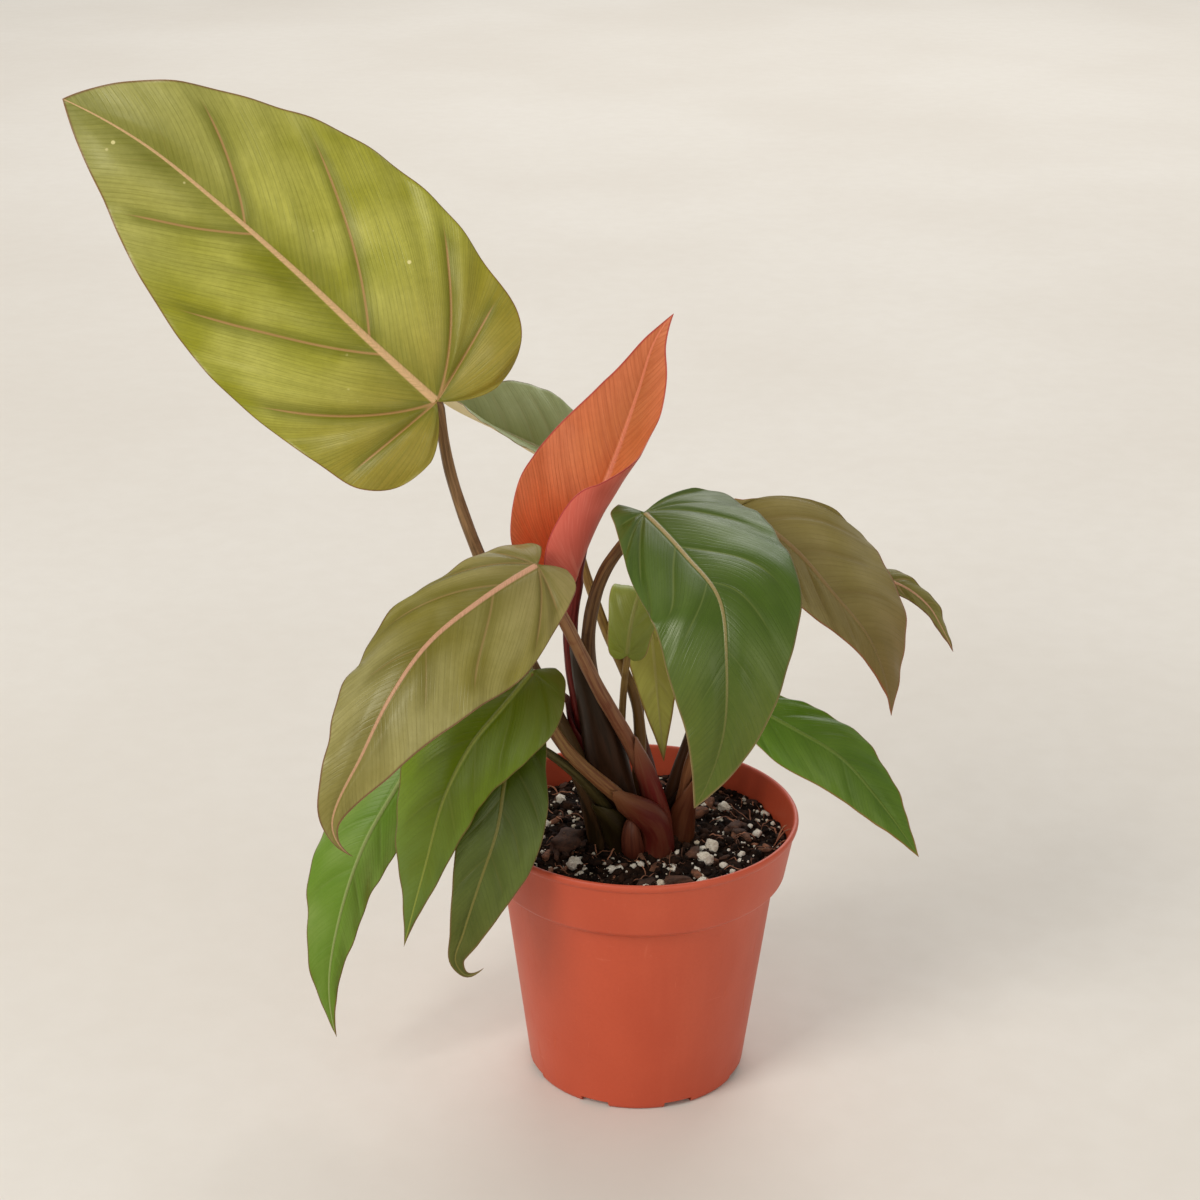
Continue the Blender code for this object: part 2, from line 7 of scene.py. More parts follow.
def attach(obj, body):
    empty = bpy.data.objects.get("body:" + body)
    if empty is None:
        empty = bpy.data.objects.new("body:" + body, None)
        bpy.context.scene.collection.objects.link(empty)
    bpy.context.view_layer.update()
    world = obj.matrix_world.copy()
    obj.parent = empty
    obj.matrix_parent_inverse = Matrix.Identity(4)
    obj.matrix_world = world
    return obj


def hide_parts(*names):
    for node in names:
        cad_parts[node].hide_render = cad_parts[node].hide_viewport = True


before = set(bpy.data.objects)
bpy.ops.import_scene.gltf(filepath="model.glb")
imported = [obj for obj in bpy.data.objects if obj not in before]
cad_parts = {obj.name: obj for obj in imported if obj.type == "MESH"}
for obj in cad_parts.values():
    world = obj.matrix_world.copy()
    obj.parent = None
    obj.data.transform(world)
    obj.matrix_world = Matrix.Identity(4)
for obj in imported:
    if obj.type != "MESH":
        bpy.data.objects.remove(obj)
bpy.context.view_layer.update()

MM = 0.001
COL = bpy.context.scene.collection

# driving sizes in mm, the same as the CAD model's
RIM_R, POT_H, BAND_H, BAND_R, NECK_R, FOOT_R, WALL = 60.0, 104.6, 23.0, 55.4, 51.4, 41.4, 1.2
DRAINS, SOIL_Z, CROWN_R, CROWN_Z, GAP = 8, 93.6, 18.6, 96.4, 0.3
STATIONS = (0.0, 0.10, 0.25, 0.45, 0.65, 0.82, 0.93)


# ================================================================ node helpers
def rgb(r, g, b, k=1.0):
    """An sRGB colour, 0 to 255, as linear RGBA."""
    f = lambda c: c / 12.92 if c <= 0.04045 else ((c + 0.055) / 1.055) ** 2.4
    return tuple(min(1.0, f(c / 255) * k) for c in (r, g, b)) + (1.0,)


class Mat:
    """A material with short calls for the nodes used below."""

    def __init__(self, name, **sockets):
        self.m = bpy.data.materials.new(name)
        self.m.use_nodes = True
        self.t = self.m.node_tree
        self.b = self.t.nodes["Principled BSDF"]
        for k, v in sockets.items():
            self.b.inputs[k.replace("_", " ")].default_value = v

    def put(self, sock, v):
        if isinstance(v, bpy.types.NodeSocket):
            self.t.links.new(v, sock)
        elif v is not None:
            sock.default_value = v

    def node(self, kind, props=None, ins=None, out=0):
        n = self.t.nodes.new(kind)
        for k, v in (props or {}).items():
            setattr(n, k, v)
        for k, v in (ins or {}).items():
            self.put(n.inputs[k], v)
        return n.outputs[out]

    def mix(self, fac, a, b, mode="MIX"):
        n = self.t.nodes.new("ShaderNodeMix")
        n.data_type, n.blend_type, n.clamp_factor = "RGBA", mode, True
        for i, v in ((0, fac), (6, a), (7, b)):
            self.put(n.inputs[i], v)
        return n.outputs[2]

    def math(self, op, a, b=None, clamp=False):
        n = self.t.nodes.new("ShaderNodeMath")
        n.operation, n.use_clamp = op, clamp
        self.put(n.inputs[0], a)
        if b is not None:
            self.put(n.inputs[1], b)
        return n.outputs[0]

    def ramp(self, v, lo, hi, a=0.0, b=1.0):
        """v from lo to hi becomes a to b, smoothly and clamped."""
        return self.node("ShaderNodeMapRange", {"interpolation_type": "SMOOTHSTEP", "clamp": True},
                         {"Value": v, "From Min": lo, "From Max": hi, "To Min": a, "To Max": b})

    def attr(self, name):
        return self.node("ShaderNodeAttribute", {"attribute_type": "GEOMETRY", "attribute_name": name}, out="Fac")

    def uv(self, name, scale=(1, 1, 1)):
        u = self.node("ShaderNodeUVMap", {"uv_map": name})
        return self.node("ShaderNodeMapping", {}, {"Vector": u, "Scale": scale})

    def obj(self, scale=(1, 1, 1)):
        c = self.node("ShaderNodeTexCoord", out="Object")
        return self.node("ShaderNodeMapping", {}, {"Vector": c, "Scale": scale})

    def noise(self, vec, scale, detail=3.0, rough=0.55, warp=0.0):
        return self.node("ShaderNodeTexNoise", {}, {"Vector": vec, "Scale": scale, "Detail": detail,
                                                   "Roughness": rough, "Distortion": warp})

    def voronoi(self, vec, scale, feature="F1", out="Distance"):
        return self.node("ShaderNodeTexVoronoi", {"feature": feature}, {"Vector": vec, "Scale": scale}, out)

    def bump(self, height, distance, strength=1.0, normal=None):
        return self.node("ShaderNodeBump", {}, {"Height": height, "Distance": distance,
                                                "Strength": strength, "Normal": normal})

    def finish(self, colour, rough=None, normal=None):
        self.put(self.b.inputs["Base Color"], colour)
        self.put(self.b.inputs["Roughness"], rough)
        self.put(self.b.inputs["Normal"], normal)
        return self.m


# ================================================================ geometry helpers
def unit(v):
    v = np.asarray(v, float)
    return v / np.linalg.norm(v, axis=-1, keepdims=True)


def smooth_curve(P, n):
    """A smooth curve through the points P, n samples in each span."""
    P = np.asarray(P, float)
    d = np.maximum(np.linalg.norm(np.diff(P, axis=0), axis=1), 1e-9)
    t = np.concatenate([[0], np.cumsum(d ** 0.7)])
    m = np.zeros_like(P)
    for i in range(1, len(P) - 1):
        a = (P[i] - P[i - 1]) / (t[i] - t[i - 1])
        b = (P[i + 1] - P[i]) / (t[i + 1] - t[i])
        wa, wb = t[i + 1] - t[i], t[i] - t[i - 1]
        m[i] = (a * wa + b * wb) / (wa + wb)
    m[0] = 2 * (P[1] - P[0]) / (t[1] - t[0]) - m[1]
    m[-1] = 2 * (P[-1] - P[-2]) / (t[-1] - t[-2]) - m[-2]
    out = []
    for i in range(len(P) - 1):
        h = t[i + 1] - t[i]
        for s in np.linspace(0, 1, n, endpoint=False):
            out.append((2*s**3 - 3*s**2 + 1) * P[i] + (s**3 - 2*s**2 + s) * h * m[i]
                       + (-2*s**3 + 3*s**2) * P[i + 1] + (s**3 - s**2) * h * m[i + 1])
    out.append(P[-1])
    return np.array(out)


def even(C, n):
    """n points spaced evenly along the curve C."""
    s = np.concatenate([[0], np.cumsum(np.linalg.norm(np.diff(C, axis=0), axis=1))])
    q = np.linspace(0, s[-1], n)
    return np.stack([np.interp(q, s, C[:, k]) for k in range(C.shape[1])], 1)


def step(x, lo, hi):
    t = np.clip((np.asarray(x, float) - lo) / (hi - lo), 0, 1)
    return t * t * (3 - 2 * t)


def make(name, verts, faces, mats, index=None, attrs=None, uvs=None, smooth=True, closed=True, sharp=None):
    """A mesh object from points in mm.  attrs are numbers per point, uvs pairs per point."""
    me = bpy.data.meshes.new(name)
    me.from_pydata([tuple(float(x) * MM for x in v) for v in verts], [], [tuple(int(i) for i in f) for f in faces])
    for m in mats:
        me.materials.append(m)
    if index is not None:
        me.polygons.foreach_set("material_index", np.asarray(index, np.int32))
    for k, v in (attrs or {}).items():
        a = me.attributes.new(k, "FLOAT", "POINT")
        a.data.foreach_set("value", np.asarray(v, np.float32))
    loops = np.zeros(len(me.loops), np.int32)
    me.loops.foreach_get("vertex_index", loops)
    for k, v in (uvs or {}).items():
        layer = me.uv_layers.new(name=k)
        layer.data.foreach_set("uv", np.asarray(v, np.float32)[loops].ravel())
    if closed:
        bm = bmesh.new()
        bm.from_mesh(me)
        bmesh.ops.recalc_face_normals(bm, faces=bm.faces)
        bm.to_mesh(me)
        bm.free()
    me.validate()
    if smooth:
        me.shade_smooth()
        if sharp:
            me.set_sharp_from_angle(angle=math.radians(sharp))
    ob = bpy.data.objects.new(name, me)
    COL.objects.link(ob)
    return ob


def place(ob, slot, *nodes):
    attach(ob, "root")
    if nodes:
        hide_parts(*nodes)
    return ob


# ================================================================ leaves
def outline(width, widest, shoulder, drip):
    """Half-widths of one side of a blade at STATIONS: 'shoulder' is the share of the full
    'width' at the stalk, 'widest' the place along the midrib where it is reached, and a
    larger 'drip' draws the tip out thinner."""
    out = []
    for f in STATIONS:
        if f <= widest:
            g = shoulder + (1 - shoulder) * math.sin(math.pi / 2 * f / widest)
        else:
            g = (1 - ((f - widest) / (1 - widest)) ** 1.6) ** drip
        out.append(width * g)
    return out


class Blade:
    """A leaf blade: the same bent outline as the CAD model's, read at any point."""

    def __init__(self, mid, face, wl, wr, lobes, fold, curl):
        self.C = even(smooth_curve(mid, 24), 161)
        self.L = float(np.linalg.norm(np.diff(self.C, axis=0), axis=1).sum())
        T = unit(np.gradient(self.C, axis=0))
        self.u = np.linspace(0, 1, 161)
        ks = np.linspace(0, 1, len(face))
        F = unit(face)
        N = np.stack([np.interp(self.u, ks, F[:, k]) for k in range(3)], 1)
        N = unit(N - T * (N * T).sum(1)[:, None])
        self.T, self.N = T, N
        self.w, self.lobes = (wl, wr), lobes
        self.fold, self.curl = np.radians(fold), np.radians(curl)
        self.W = float(max(max(wl), max(wr)))

    def frame(self, a):
        q = np.clip(np.asarray(a, float) / self.L, 0, 1)
        f = lambda A: np.stack([np.interp(q, self.u, A[:, k]) for k in range(3)], -1)
        m, T, N = f(self.C), unit(f(self.T)), f(self.N)
        N = unit(N - T * (N * T).sum(-1, keepdims=True))
        return m + T * np.minimum(a, 0.0)[..., None], T, N, np.cross(T, N), q

    def at(self, a, w, side):
        """Points and upper-face directions at distances a along the midrib and w from it."""
        a, w = np.asarray(a, float), np.asarray(w, float)
        m, T, N, S, q = self.frame(a)
        ph = np.interp(q, (0, .5, 1), self.fold[:, side])
        cu = np.interp(q, (0, .5, 1), self.curl[:, side])
        cu = np.where(np.abs(cu) > 1e-3, cu, 1e-3)
        t = ph + cu * w / self.W
        X = self.W / cu * (np.sin(t) - np.sin(ph))
        Z = -self.W / cu * (np.cos(t) - np.cos(ph))
        g = 1.0 if side else -1.0
        P = m + S * (g * X)[..., None] + N * Z[..., None]
        n = N * np.cos(t)[..., None] - S * (g * np.sin(t))[..., None]
        k = step(w, 0.0, 3.0)[..., None]              # one shared direction at the midrib
        return P, unit(n * k + N * (1 - k))

    def margin(self, side, n):
        w, b = self.w[side], self.lobes[side]
        P = [(-b, 0.42 * w[0]), (-0.72 * b, 0.80 * w[0])]
        P += [(f * self.L, x) for f, x in zip(STATIONS, w)] + [(self.L, 0.0)]
        return even(smooth_curve(P, 24), n)


def leaf(key, kw, mats, slot, K=84, M=24, rib=1.35, veins=None, quilt=0.6, wave=0.7, nwave=4.5,
         reach=1.7, bow=0.55, seed=1, thick=0.5):
    """A fine blade: raised midrib in a groove, sunken laterals with the blade quilted between
    them, a keel underneath and a thin rolled margin."""
    b = Blade(**kw)
    rng = np.random.default_rng(seed)
    n0 = 801
    mg = [b.margin(0, n0), b.margin(1, n0)]
    uu = np.linspace(0, 1, n0)
    mlen = [float(np.linalg.norm(np.diff(m, axis=0), axis=1).sum()) for m in mg]
    a0 = np.mean([m[:, 0] - reach * m[:, 1] for m in mg], 0)
    a0 = np.maximum.accumulate(np.clip(a0, 0, b.L))
    u0 = float(uu[np.argmax(a0 > 1e-6)])
    lift = np.clip((uu - u0) / (1 - u0), 0, 1)
    a0 = 0.92 * a0 + 0.08 * b.L * lift
    a0[-1] = b.L
    # lateral veins: ('f', x) fans from the base, ('m', x) leaves the midrib at x of its length
    veins = veins or [('f', .30, .8), ('f', .62, 1), ('m', .10, .9), ('m', .27, .7), ('m', .47, .8), ('m', .68, .5)]
    sides = []
    for side in (0, 1):
        vs = []
        for kind, x, s in veins:
            x = x + float(rng.uniform(-.025, .025)) * (1 if side else -1)
            u = x * u0 if kind == 'f' else float(np.interp(x * b.L, a0[uu >= u0], uu[uu >= u0]))
            vs.append((u, s))
        sides.append(sorted(vs))
    us = set(np.round(np.linspace(0, 1, K + 1), 5))
    for side in (0, 1):
        for u, s in sides[side]:
            for d in (-1.5, -.6, 0, .6, 1.5):
                us.add(round(min(1, max(0, u + d / mlen[side])), 5))
    us = sorted(us)
    keep = [us[0]]
    exact = {round(u, 5) for sd in sides for u, s in sd} | {1.0}
    for u in us[1:]:
        if u - keep[-1] < 0.4 / mlen[0]:
            if u in exact and keep[-1] not in exact:
                keep[-1] = u
            elif u in exact:
                keep.append(u)
            continue
        keep.append(u)
    us = np.array(keep)
    R = len(us)
    cs = np.array([0, .4, .75, 1.0, 1.3, 1.8, 2.5])
    phase = rng.uniform(0, 6.28, 8)
    grids = []
    for side in (0, 1):
        A1 = np.interp(us, uu, mg[side][:, 0])
        W1 = np.interp(us, uu, mg[side][:, 1])
        A0 = np.interp(us, uu, a0)
        h = rib * (1 - A0 / b.L) + 0.20
        inner = cs[None, :] * np.minimum(h, W1 * 0.45 / cs[-1])[:, None]
        v = np.linspace(0, 1, M + 1)[1:]
        outer = inner[:, -1:] + (W1[:, None] - inner[:, -1:]) * v[None, :]
        w = np.concatenate([inner, outer], 1)
        q = np.where(W1[:, None] > 1e-6, w / np.maximum(W1, 1e-6)[:, None], np.linspace(0, 1, w.shape[1])[None, :])
        q[:, 0] = 0
        bw = bow * (step(A1, 0.0, 0.3 * b.L) + 0.9 * step(-A1, 0.15 * max(b.lobes), 0.9 * max(b.lobes)))[:, None]
        a = (1 - q) * A0[:, None] + q * A1[:, None] - bw * W1[:, None] * q * (1 - q)
        w = q * W1[:, None]
        P, n = b.at(a, w, side)
        # distances in mm to the nearest lateral, measured across the rows
        dPu = np.gradient(P, us, axis=0)
        dPq = unit(np.gradient(P, axis=1) + 1e-9)
        G = np.linalg.norm(dPu - dPq * (dPu * dPq).sum(-1, keepdims=True), axis=-1)
        vein = np.full(P.shape[:2], 50.0)
        vstr = np.zeros(P.shape[:2])
        for u, s in sides[side]:
            d = np.abs(us - u)[:, None] * G
            near = d < vein
            vein = np.where(near, d, vein)
            fade = s * (1 - step(q, .35 + .35 * s, .62 + .38 * s))
            vstr = np.where(near, fade, vstr)
        ub = np.array([0.0] + [u for u, s in sides[side] if s > 0.55] + [1.0])
        i = np.clip(np.searchsorted(ub, us, side="right") - 1, 0, len(ub) - 2)
        s = (us - ub[i]) / (ub[i + 1] - ub[i])
        width = (ub[i + 1] - ub[i]) * mlen[side]
        pillow = (np.sin(np.pi * s) ** 0.8 * np.minimum(1, width / 30.0))[:, None]
        env = step(q, 0.02, 0.40) * (1 - 0.75 * step(q, 0.62, 1.0))
        ends = (step(us, 0.0, 0.06) * (1 - step(us, 0.86, 1.0)))[:, None]
        hh = rib * np.clip(1 - a / b.L, 0, 1) + 0.20
        front = step(a, -2.5, 1.0)
        rel = w / hh
        top = quilt * pillow * env * ends
        top += 0.26 * hh * np.clip(1 - rel ** 2, 0, 1) * front - 0.24 * hh * np.exp(-((rel - 1.35) / .42) ** 2) * front
        top += -0.28 * vstr * np.exp(-(vein / 0.9) ** 2) * step(rel, 1.2, 2.6)
        sarc = us * mlen[side]
        ripple = (np.sin(2 * np.pi * nwave * us + phase[side]) + 0.5 * np.sin(2 * np.pi * nwave * 2.3 * us + phase[side + 2]))[:, None]
        top += wave * ripple * q ** 2.2 * ends
        body = wave * 0.35 * (np.sin(a * 0.11 + phase[4]) * np.sin(w * 0.13 + phase[5 + side])) * step(q, .05, .5)
        top = top + body * ends
        edge = (W1[:, None] - w) * 0.75
        t = thick * (0.45 + 0.55 * step(edge, 0.0, 2.0))
        keel = 1.25 * hh * np.sqrt(np.clip(1 - (rel / 1.25) ** 2, 0, 1)) * front
        low = top - t - keel * step(np.clip(1 - a / b.L, 0, 1), 0, .15) - 0.22 * vstr * np.exp(-(vein / 1.1) ** 2) * step(rel, 1.2, 2.6)
        # under the midrib the quilting doesn't follow
        row = np.cumsum(np.linalg.norm(np.diff(P, axis=1), axis=-1), axis=1)
        along = np.concatenate([np.zeros((R, 1)), row], 1)
        grids.append(dict(P=P, n=n, top=top, low=low, q=q, a=a, w=w, vein=vein, vstr=vstr, edge=edge,
                          rel=rel + (1 - front) * 9, pil=pillow * env, su=np.broadcast_to(sarc[:, None], q.shape), along=along))
    C = grids[0]["q"].shape[1]
    # ---- shared points: the base, the midrib and the tip
    verts, at = [], {k: [] for k in ("rib", "vein", "vstr", "edge", "pil", "far", "mm")}
    uv1, index = [], {}
    A0 = np.interp(us, uu, a0)

    def vert(level, side, k, j):
        if k == R - 1:
            key = (level, "tip")
        elif j == 0:
            key = (level, "base") if A0[k] <= 1e-6 else (level, "mid", k)
        else:
            key = (level, side, k, j)
        if key not in index:
            g = grids[side]
            P, n = g["P"][k, j], g["n"][k, j]
            if level == 2:                                   # the margin's outermost line
                P2 = g["P"][k, j - 1] if j else P
                o = P - P2
                L = np.linalg.norm(o)
                o = o / L if L > 1e-6 else b.T[-1]
                if k == R - 1:
                    o = b.T[-1]
                p = P + n * (0.5 * (g["top"][k, j] + g["low"][k, j])) + o * 0.14
            else:
                p = P + n * g["top" if level == 0 else "low"][k, j] + n * thick * 0.5
            if level == 2:
                p = p + n * thick * 0.5
            index[key] = len(verts)
            verts.append(p)
            at["rib"].append(g["rel"][k, j])
            at["mm"].append(g["w"][k, j])
            at["vein"].append(g["vein"][k, j])
            at["vstr"].append(g["vstr"][k, j])
            at["edge"].append(min(g["edge"][k, j], 20.0))
            at["pil"].append(g["pil"][k, j])
            at["far"].append(g["a"][k, j] / b.L)
            uv1.append((g["su"][k, j] * 0.1 + 40 * side, g["along"][k, j] * 0.1))
        return index[key]

    faces, mi = [], []

    def face(ids, m):
        out = []
        for i in ids:
            if i not in out:
                out.append(i)
        if len(out) >= 3:
            faces.append(out)
            mi.append(m)
    for side in (0, 1):
        for k in range(R - 1):
            for j in range(C - 1):
                for level in (0, 1):
                    f = [vert(level, side, k, j), vert(level, side, k, j + 1),
                         vert(level, side, k + 1, j + 1), vert(level, side, k + 1, j)]
                    face(f if (side + level) % 2 else f[::-1], level)
    loop = [(1, 0, j) for j in range(0, C)] + [(1, k, C - 1) for k in range(1, R)]
    loop += [(0, k, C - 1) for k in range(R - 2, -1, -1)] + [(0, 0, j) for j in range(C - 2, -1, -1)]
    for p, r in zip(loop[:-1], loop[1:]):
        for lo, hi in ((0, 2), (2, 1)):
            face([vert(lo, *p), vert(hi, *p), vert(hi, *r), vert(lo, *r)], 2)
    ob = make(key + "_leaf", verts, faces, mats, mi, at, {"vein_uv": uv1})
    place(ob, slot, key + "_blade")
    return b


# crest: a lighter tone used for random mottling and streaks, and also as the painted highlight on the tops of the
# quilted bulges
def leaf_top(name, base, crest, lane, rib, edge, streak=0.5, gloss=0.33, tip=None, lobe=None, spots=0.0,
             vein=None, blush=None, lines=.5, ribs=.95, ribend=1.0, lanes=1.0, fine=.3, span=(.45, .95, .30)):
    # lane: the colour of the streaks and fine veins, and also the painted shade along the sunken lateral veins
    m = Mat(name, IOR=1.45, Specular_IOR_Level=.42, Specular_Tint=(1.0, .98, .82, 1.0))
    s1 = m.noise(m.uv("vein_uv", (5.2, 0.30, 1)), 1.0, 2.5, .6)
    s2 = m.noise(m.uv("vein_uv", (15.0, 0.8, 1)), 1.0, 2.0, .6)
    slow = m.noise(m.uv("vein_uv", (.6, 0.25, 1)), 1.0, 1.0, .5)
    big = m.noise(m.obj((1, 1, 1)), 32.0, 2.5, .5, .3)
    grit = m.noise(m.obj((1, 1, 1)), 420.0, 3.0, .6)
    far, q = m.attr("far"), m.attr("pil")
    vd, vs, rb, ed, mm = m.attr("vein"), m.attr("vstr"), m.attr("rib"), m.attr("edge"), m.attr("mm")
    # fine parallel veins, about 1.8 mm apart at the margin
    u = m.node("ShaderNodeSeparateXYZ", {}, {"Vector": m.uv("vein_uv")}, "X")
    t = m.math("ADD", m.math("MULTIPLY", u, 5.5), m.math("MULTIPLY", slow, 1.6))
    fv = m.math("ABSOLUTE", m.math("SUBTRACT", m.math("FRACT", t), .5))
    fv = m.math("MULTIPLY", m.ramp(fv, .03, .20, 1.0, 0.0), m.ramp(s2, .30, .65))
    c = m.mix(m.ramp(big, .32, .68), base, crest)
    # painted highlight: the tops of the quilted bulges between the lateral veins lean towards the crest colour
    c = m.mix(m.ramp(q, .25, 1.0, 0.0, .55), c, crest)
    if tip:
        # the colour towards the tip: a painted bluish sheen on the green look, and painted shade on the orange look
        c = m.mix(m.ramp(far, span[0], span[1], 0.0, .9), c, tip)
    if lobe:
        c = m.mix(m.ramp(far, span[2], -.05, 0.0, .85), c, lobe)
    # painted shade: the lanes along the sunken lateral veins darken towards the lane colour; the next line darkens the
    # blade towards the midrib
    lane_shade = m.math("MULTIPLY", m.ramp(vd, .3, 5.0, 1.0, 0.0), m.ramp(vs, 0.0, .5, .15, 1.0))
    c = m.mix(m.math("MULTIPLY", lane_shade, .62 * lanes), c, lane)
    c = m.mix(m.ramp(mm, 1.5, 14.0, .50 * lanes, 0.0), c, lane)
    if blush:
        c = m.mix(m.ramp(ed, 0.0, 7.0, .65, 0.0), c, blush)
    st = m.ramp(s1, .34, .66)
    c = m.mix(m.math("MULTIPLY", st, streak * .50), c, lane)
    c = m.mix(m.ramp(s2, .40, .75, 0.0, streak * .30), c, crest)
    c = m.mix(m.math("MULTIPLY", fv, fine), c, lane)
    c = m.mix(m.ramp(grit, .30, .75, 0.0, .14), c, lane)
    if spots:
        d = m.voronoi(m.obj((1, 1, 1)), 130.0)
        keep = m.ramp(m.noise(m.obj((1, 1, 1)), 45.0, 1.0), .60, .68)
        c = m.mix(m.math("MULTIPLY", m.ramp(d, .07, .12, spots, 0.0), keep), c, rgb(226, 214, 150))
    thin = m.math("DIVIDE", vd, m.math("ADD", m.math("MULTIPLY", vs, .80), .20))
    line = m.math("MULTIPLY", m.ramp(thin, .16, .66, 1.0, 0.0), m.ramp(vs, 0.05, .80, 0.0, lines))
    c = m.mix(line, c, vein or rib)
    ribc = m.mix(m.ramp(s2, .35, .7, 0.0, .30), rib, lane)
    c = m.mix(m.math("MULTIPLY", m.ramp(rb, .72, 1.12, 1.0, 0.0), m.ramp(far, .20, .92, ribs, ribs * ribend)), c, ribc)
    c = m.mix(m.ramp(ed, .04, .34, .75, 0.0), c, edge)
    r = m.ramp(m.noise(m.obj((1, 1, 1)), 60.0, 3.0), .25, .75, gloss - .05, gloss + .10)
    r = m.math("ADD", r, m.ramp(s1, .3, .7, 0.0, .05))
    hgt = m.math("ADD", m.math("MULTIPLY", s1, .7), m.math("MULTIPLY", s2, .35))
    hgt = m.math("SUBTRACT", hgt, m.math("MULTIPLY", fv, .45))
    nb = m.bump(hgt, .00020, .5)
    nb = m.bump(m.voronoi(m.obj((1, 1, 1)), 1500.0), .00003, .35, nb)
    return m.finish(c, r, nb)


def leaf_under(name, base, deep, rib, edge, gloss=0.48):
    m = Mat(name, IOR=1.42, Specular_IOR_Level=.22, Specular_Tint=(1.0, .96, .62, 1.0))
    s1 = m.noise(m.uv("vein_uv", (5.2, 0.30, 1)), 1.0, 2.5, .6)
    s2 = m.noise(m.uv("vein_uv", (13.0, 0.7, 1)), 1.0, 2.0, .6)
    big = m.noise(m.obj((1, 1, 1)), 30.0, 2.5, .5, .3)
    vd, vs, rb, ed = m.attr("vein"), m.attr("vstr"), m.attr("rib"), m.attr("edge")
    c = m.mix(m.ramp(big, .3, .7), base, deep)
    c = m.mix(m.ramp(s1, .35, .65, 0.0, .45), c, deep)
    c = m.mix(m.ramp(s2, .50, .75, 0.0, .30), c, rib)
    c = m.mix(m.math("MULTIPLY", m.ramp(vd, .35, 1.1, 1.0, 0.0), m.ramp(vs, 0.0, .8, 0.0, .5)), c, rib)
    c = m.mix(m.ramp(rb, .95, 1.35, .9, 0.0), c, rib)
    c = m.mix(m.ramp(ed, .05, .50, .8, 0.0), c, edge)
    r = m.ramp(m.noise(m.obj((1, 1, 1)), 70.0, 3.0), .25, .75, gloss - .05, gloss + .09)
    nb = m.bump(m.math("ADD", s1, m.math("MULTIPLY", s2, .5)), .00025, .5)
    return m.finish(c, r, nb)


def leaf_rim(name, edge, pale):
    m = Mat(name, IOR=1.45)
    n = m.noise(m.obj((1, 1, 1)), 180.0, 3.0)
    c = m.mix(m.ramp(n, .25, .75, .15, .75), edge, pale)
    return m.finish(c, m.ramp(n, .3, .7, .40, .55), m.bump(n, .0001, .4))


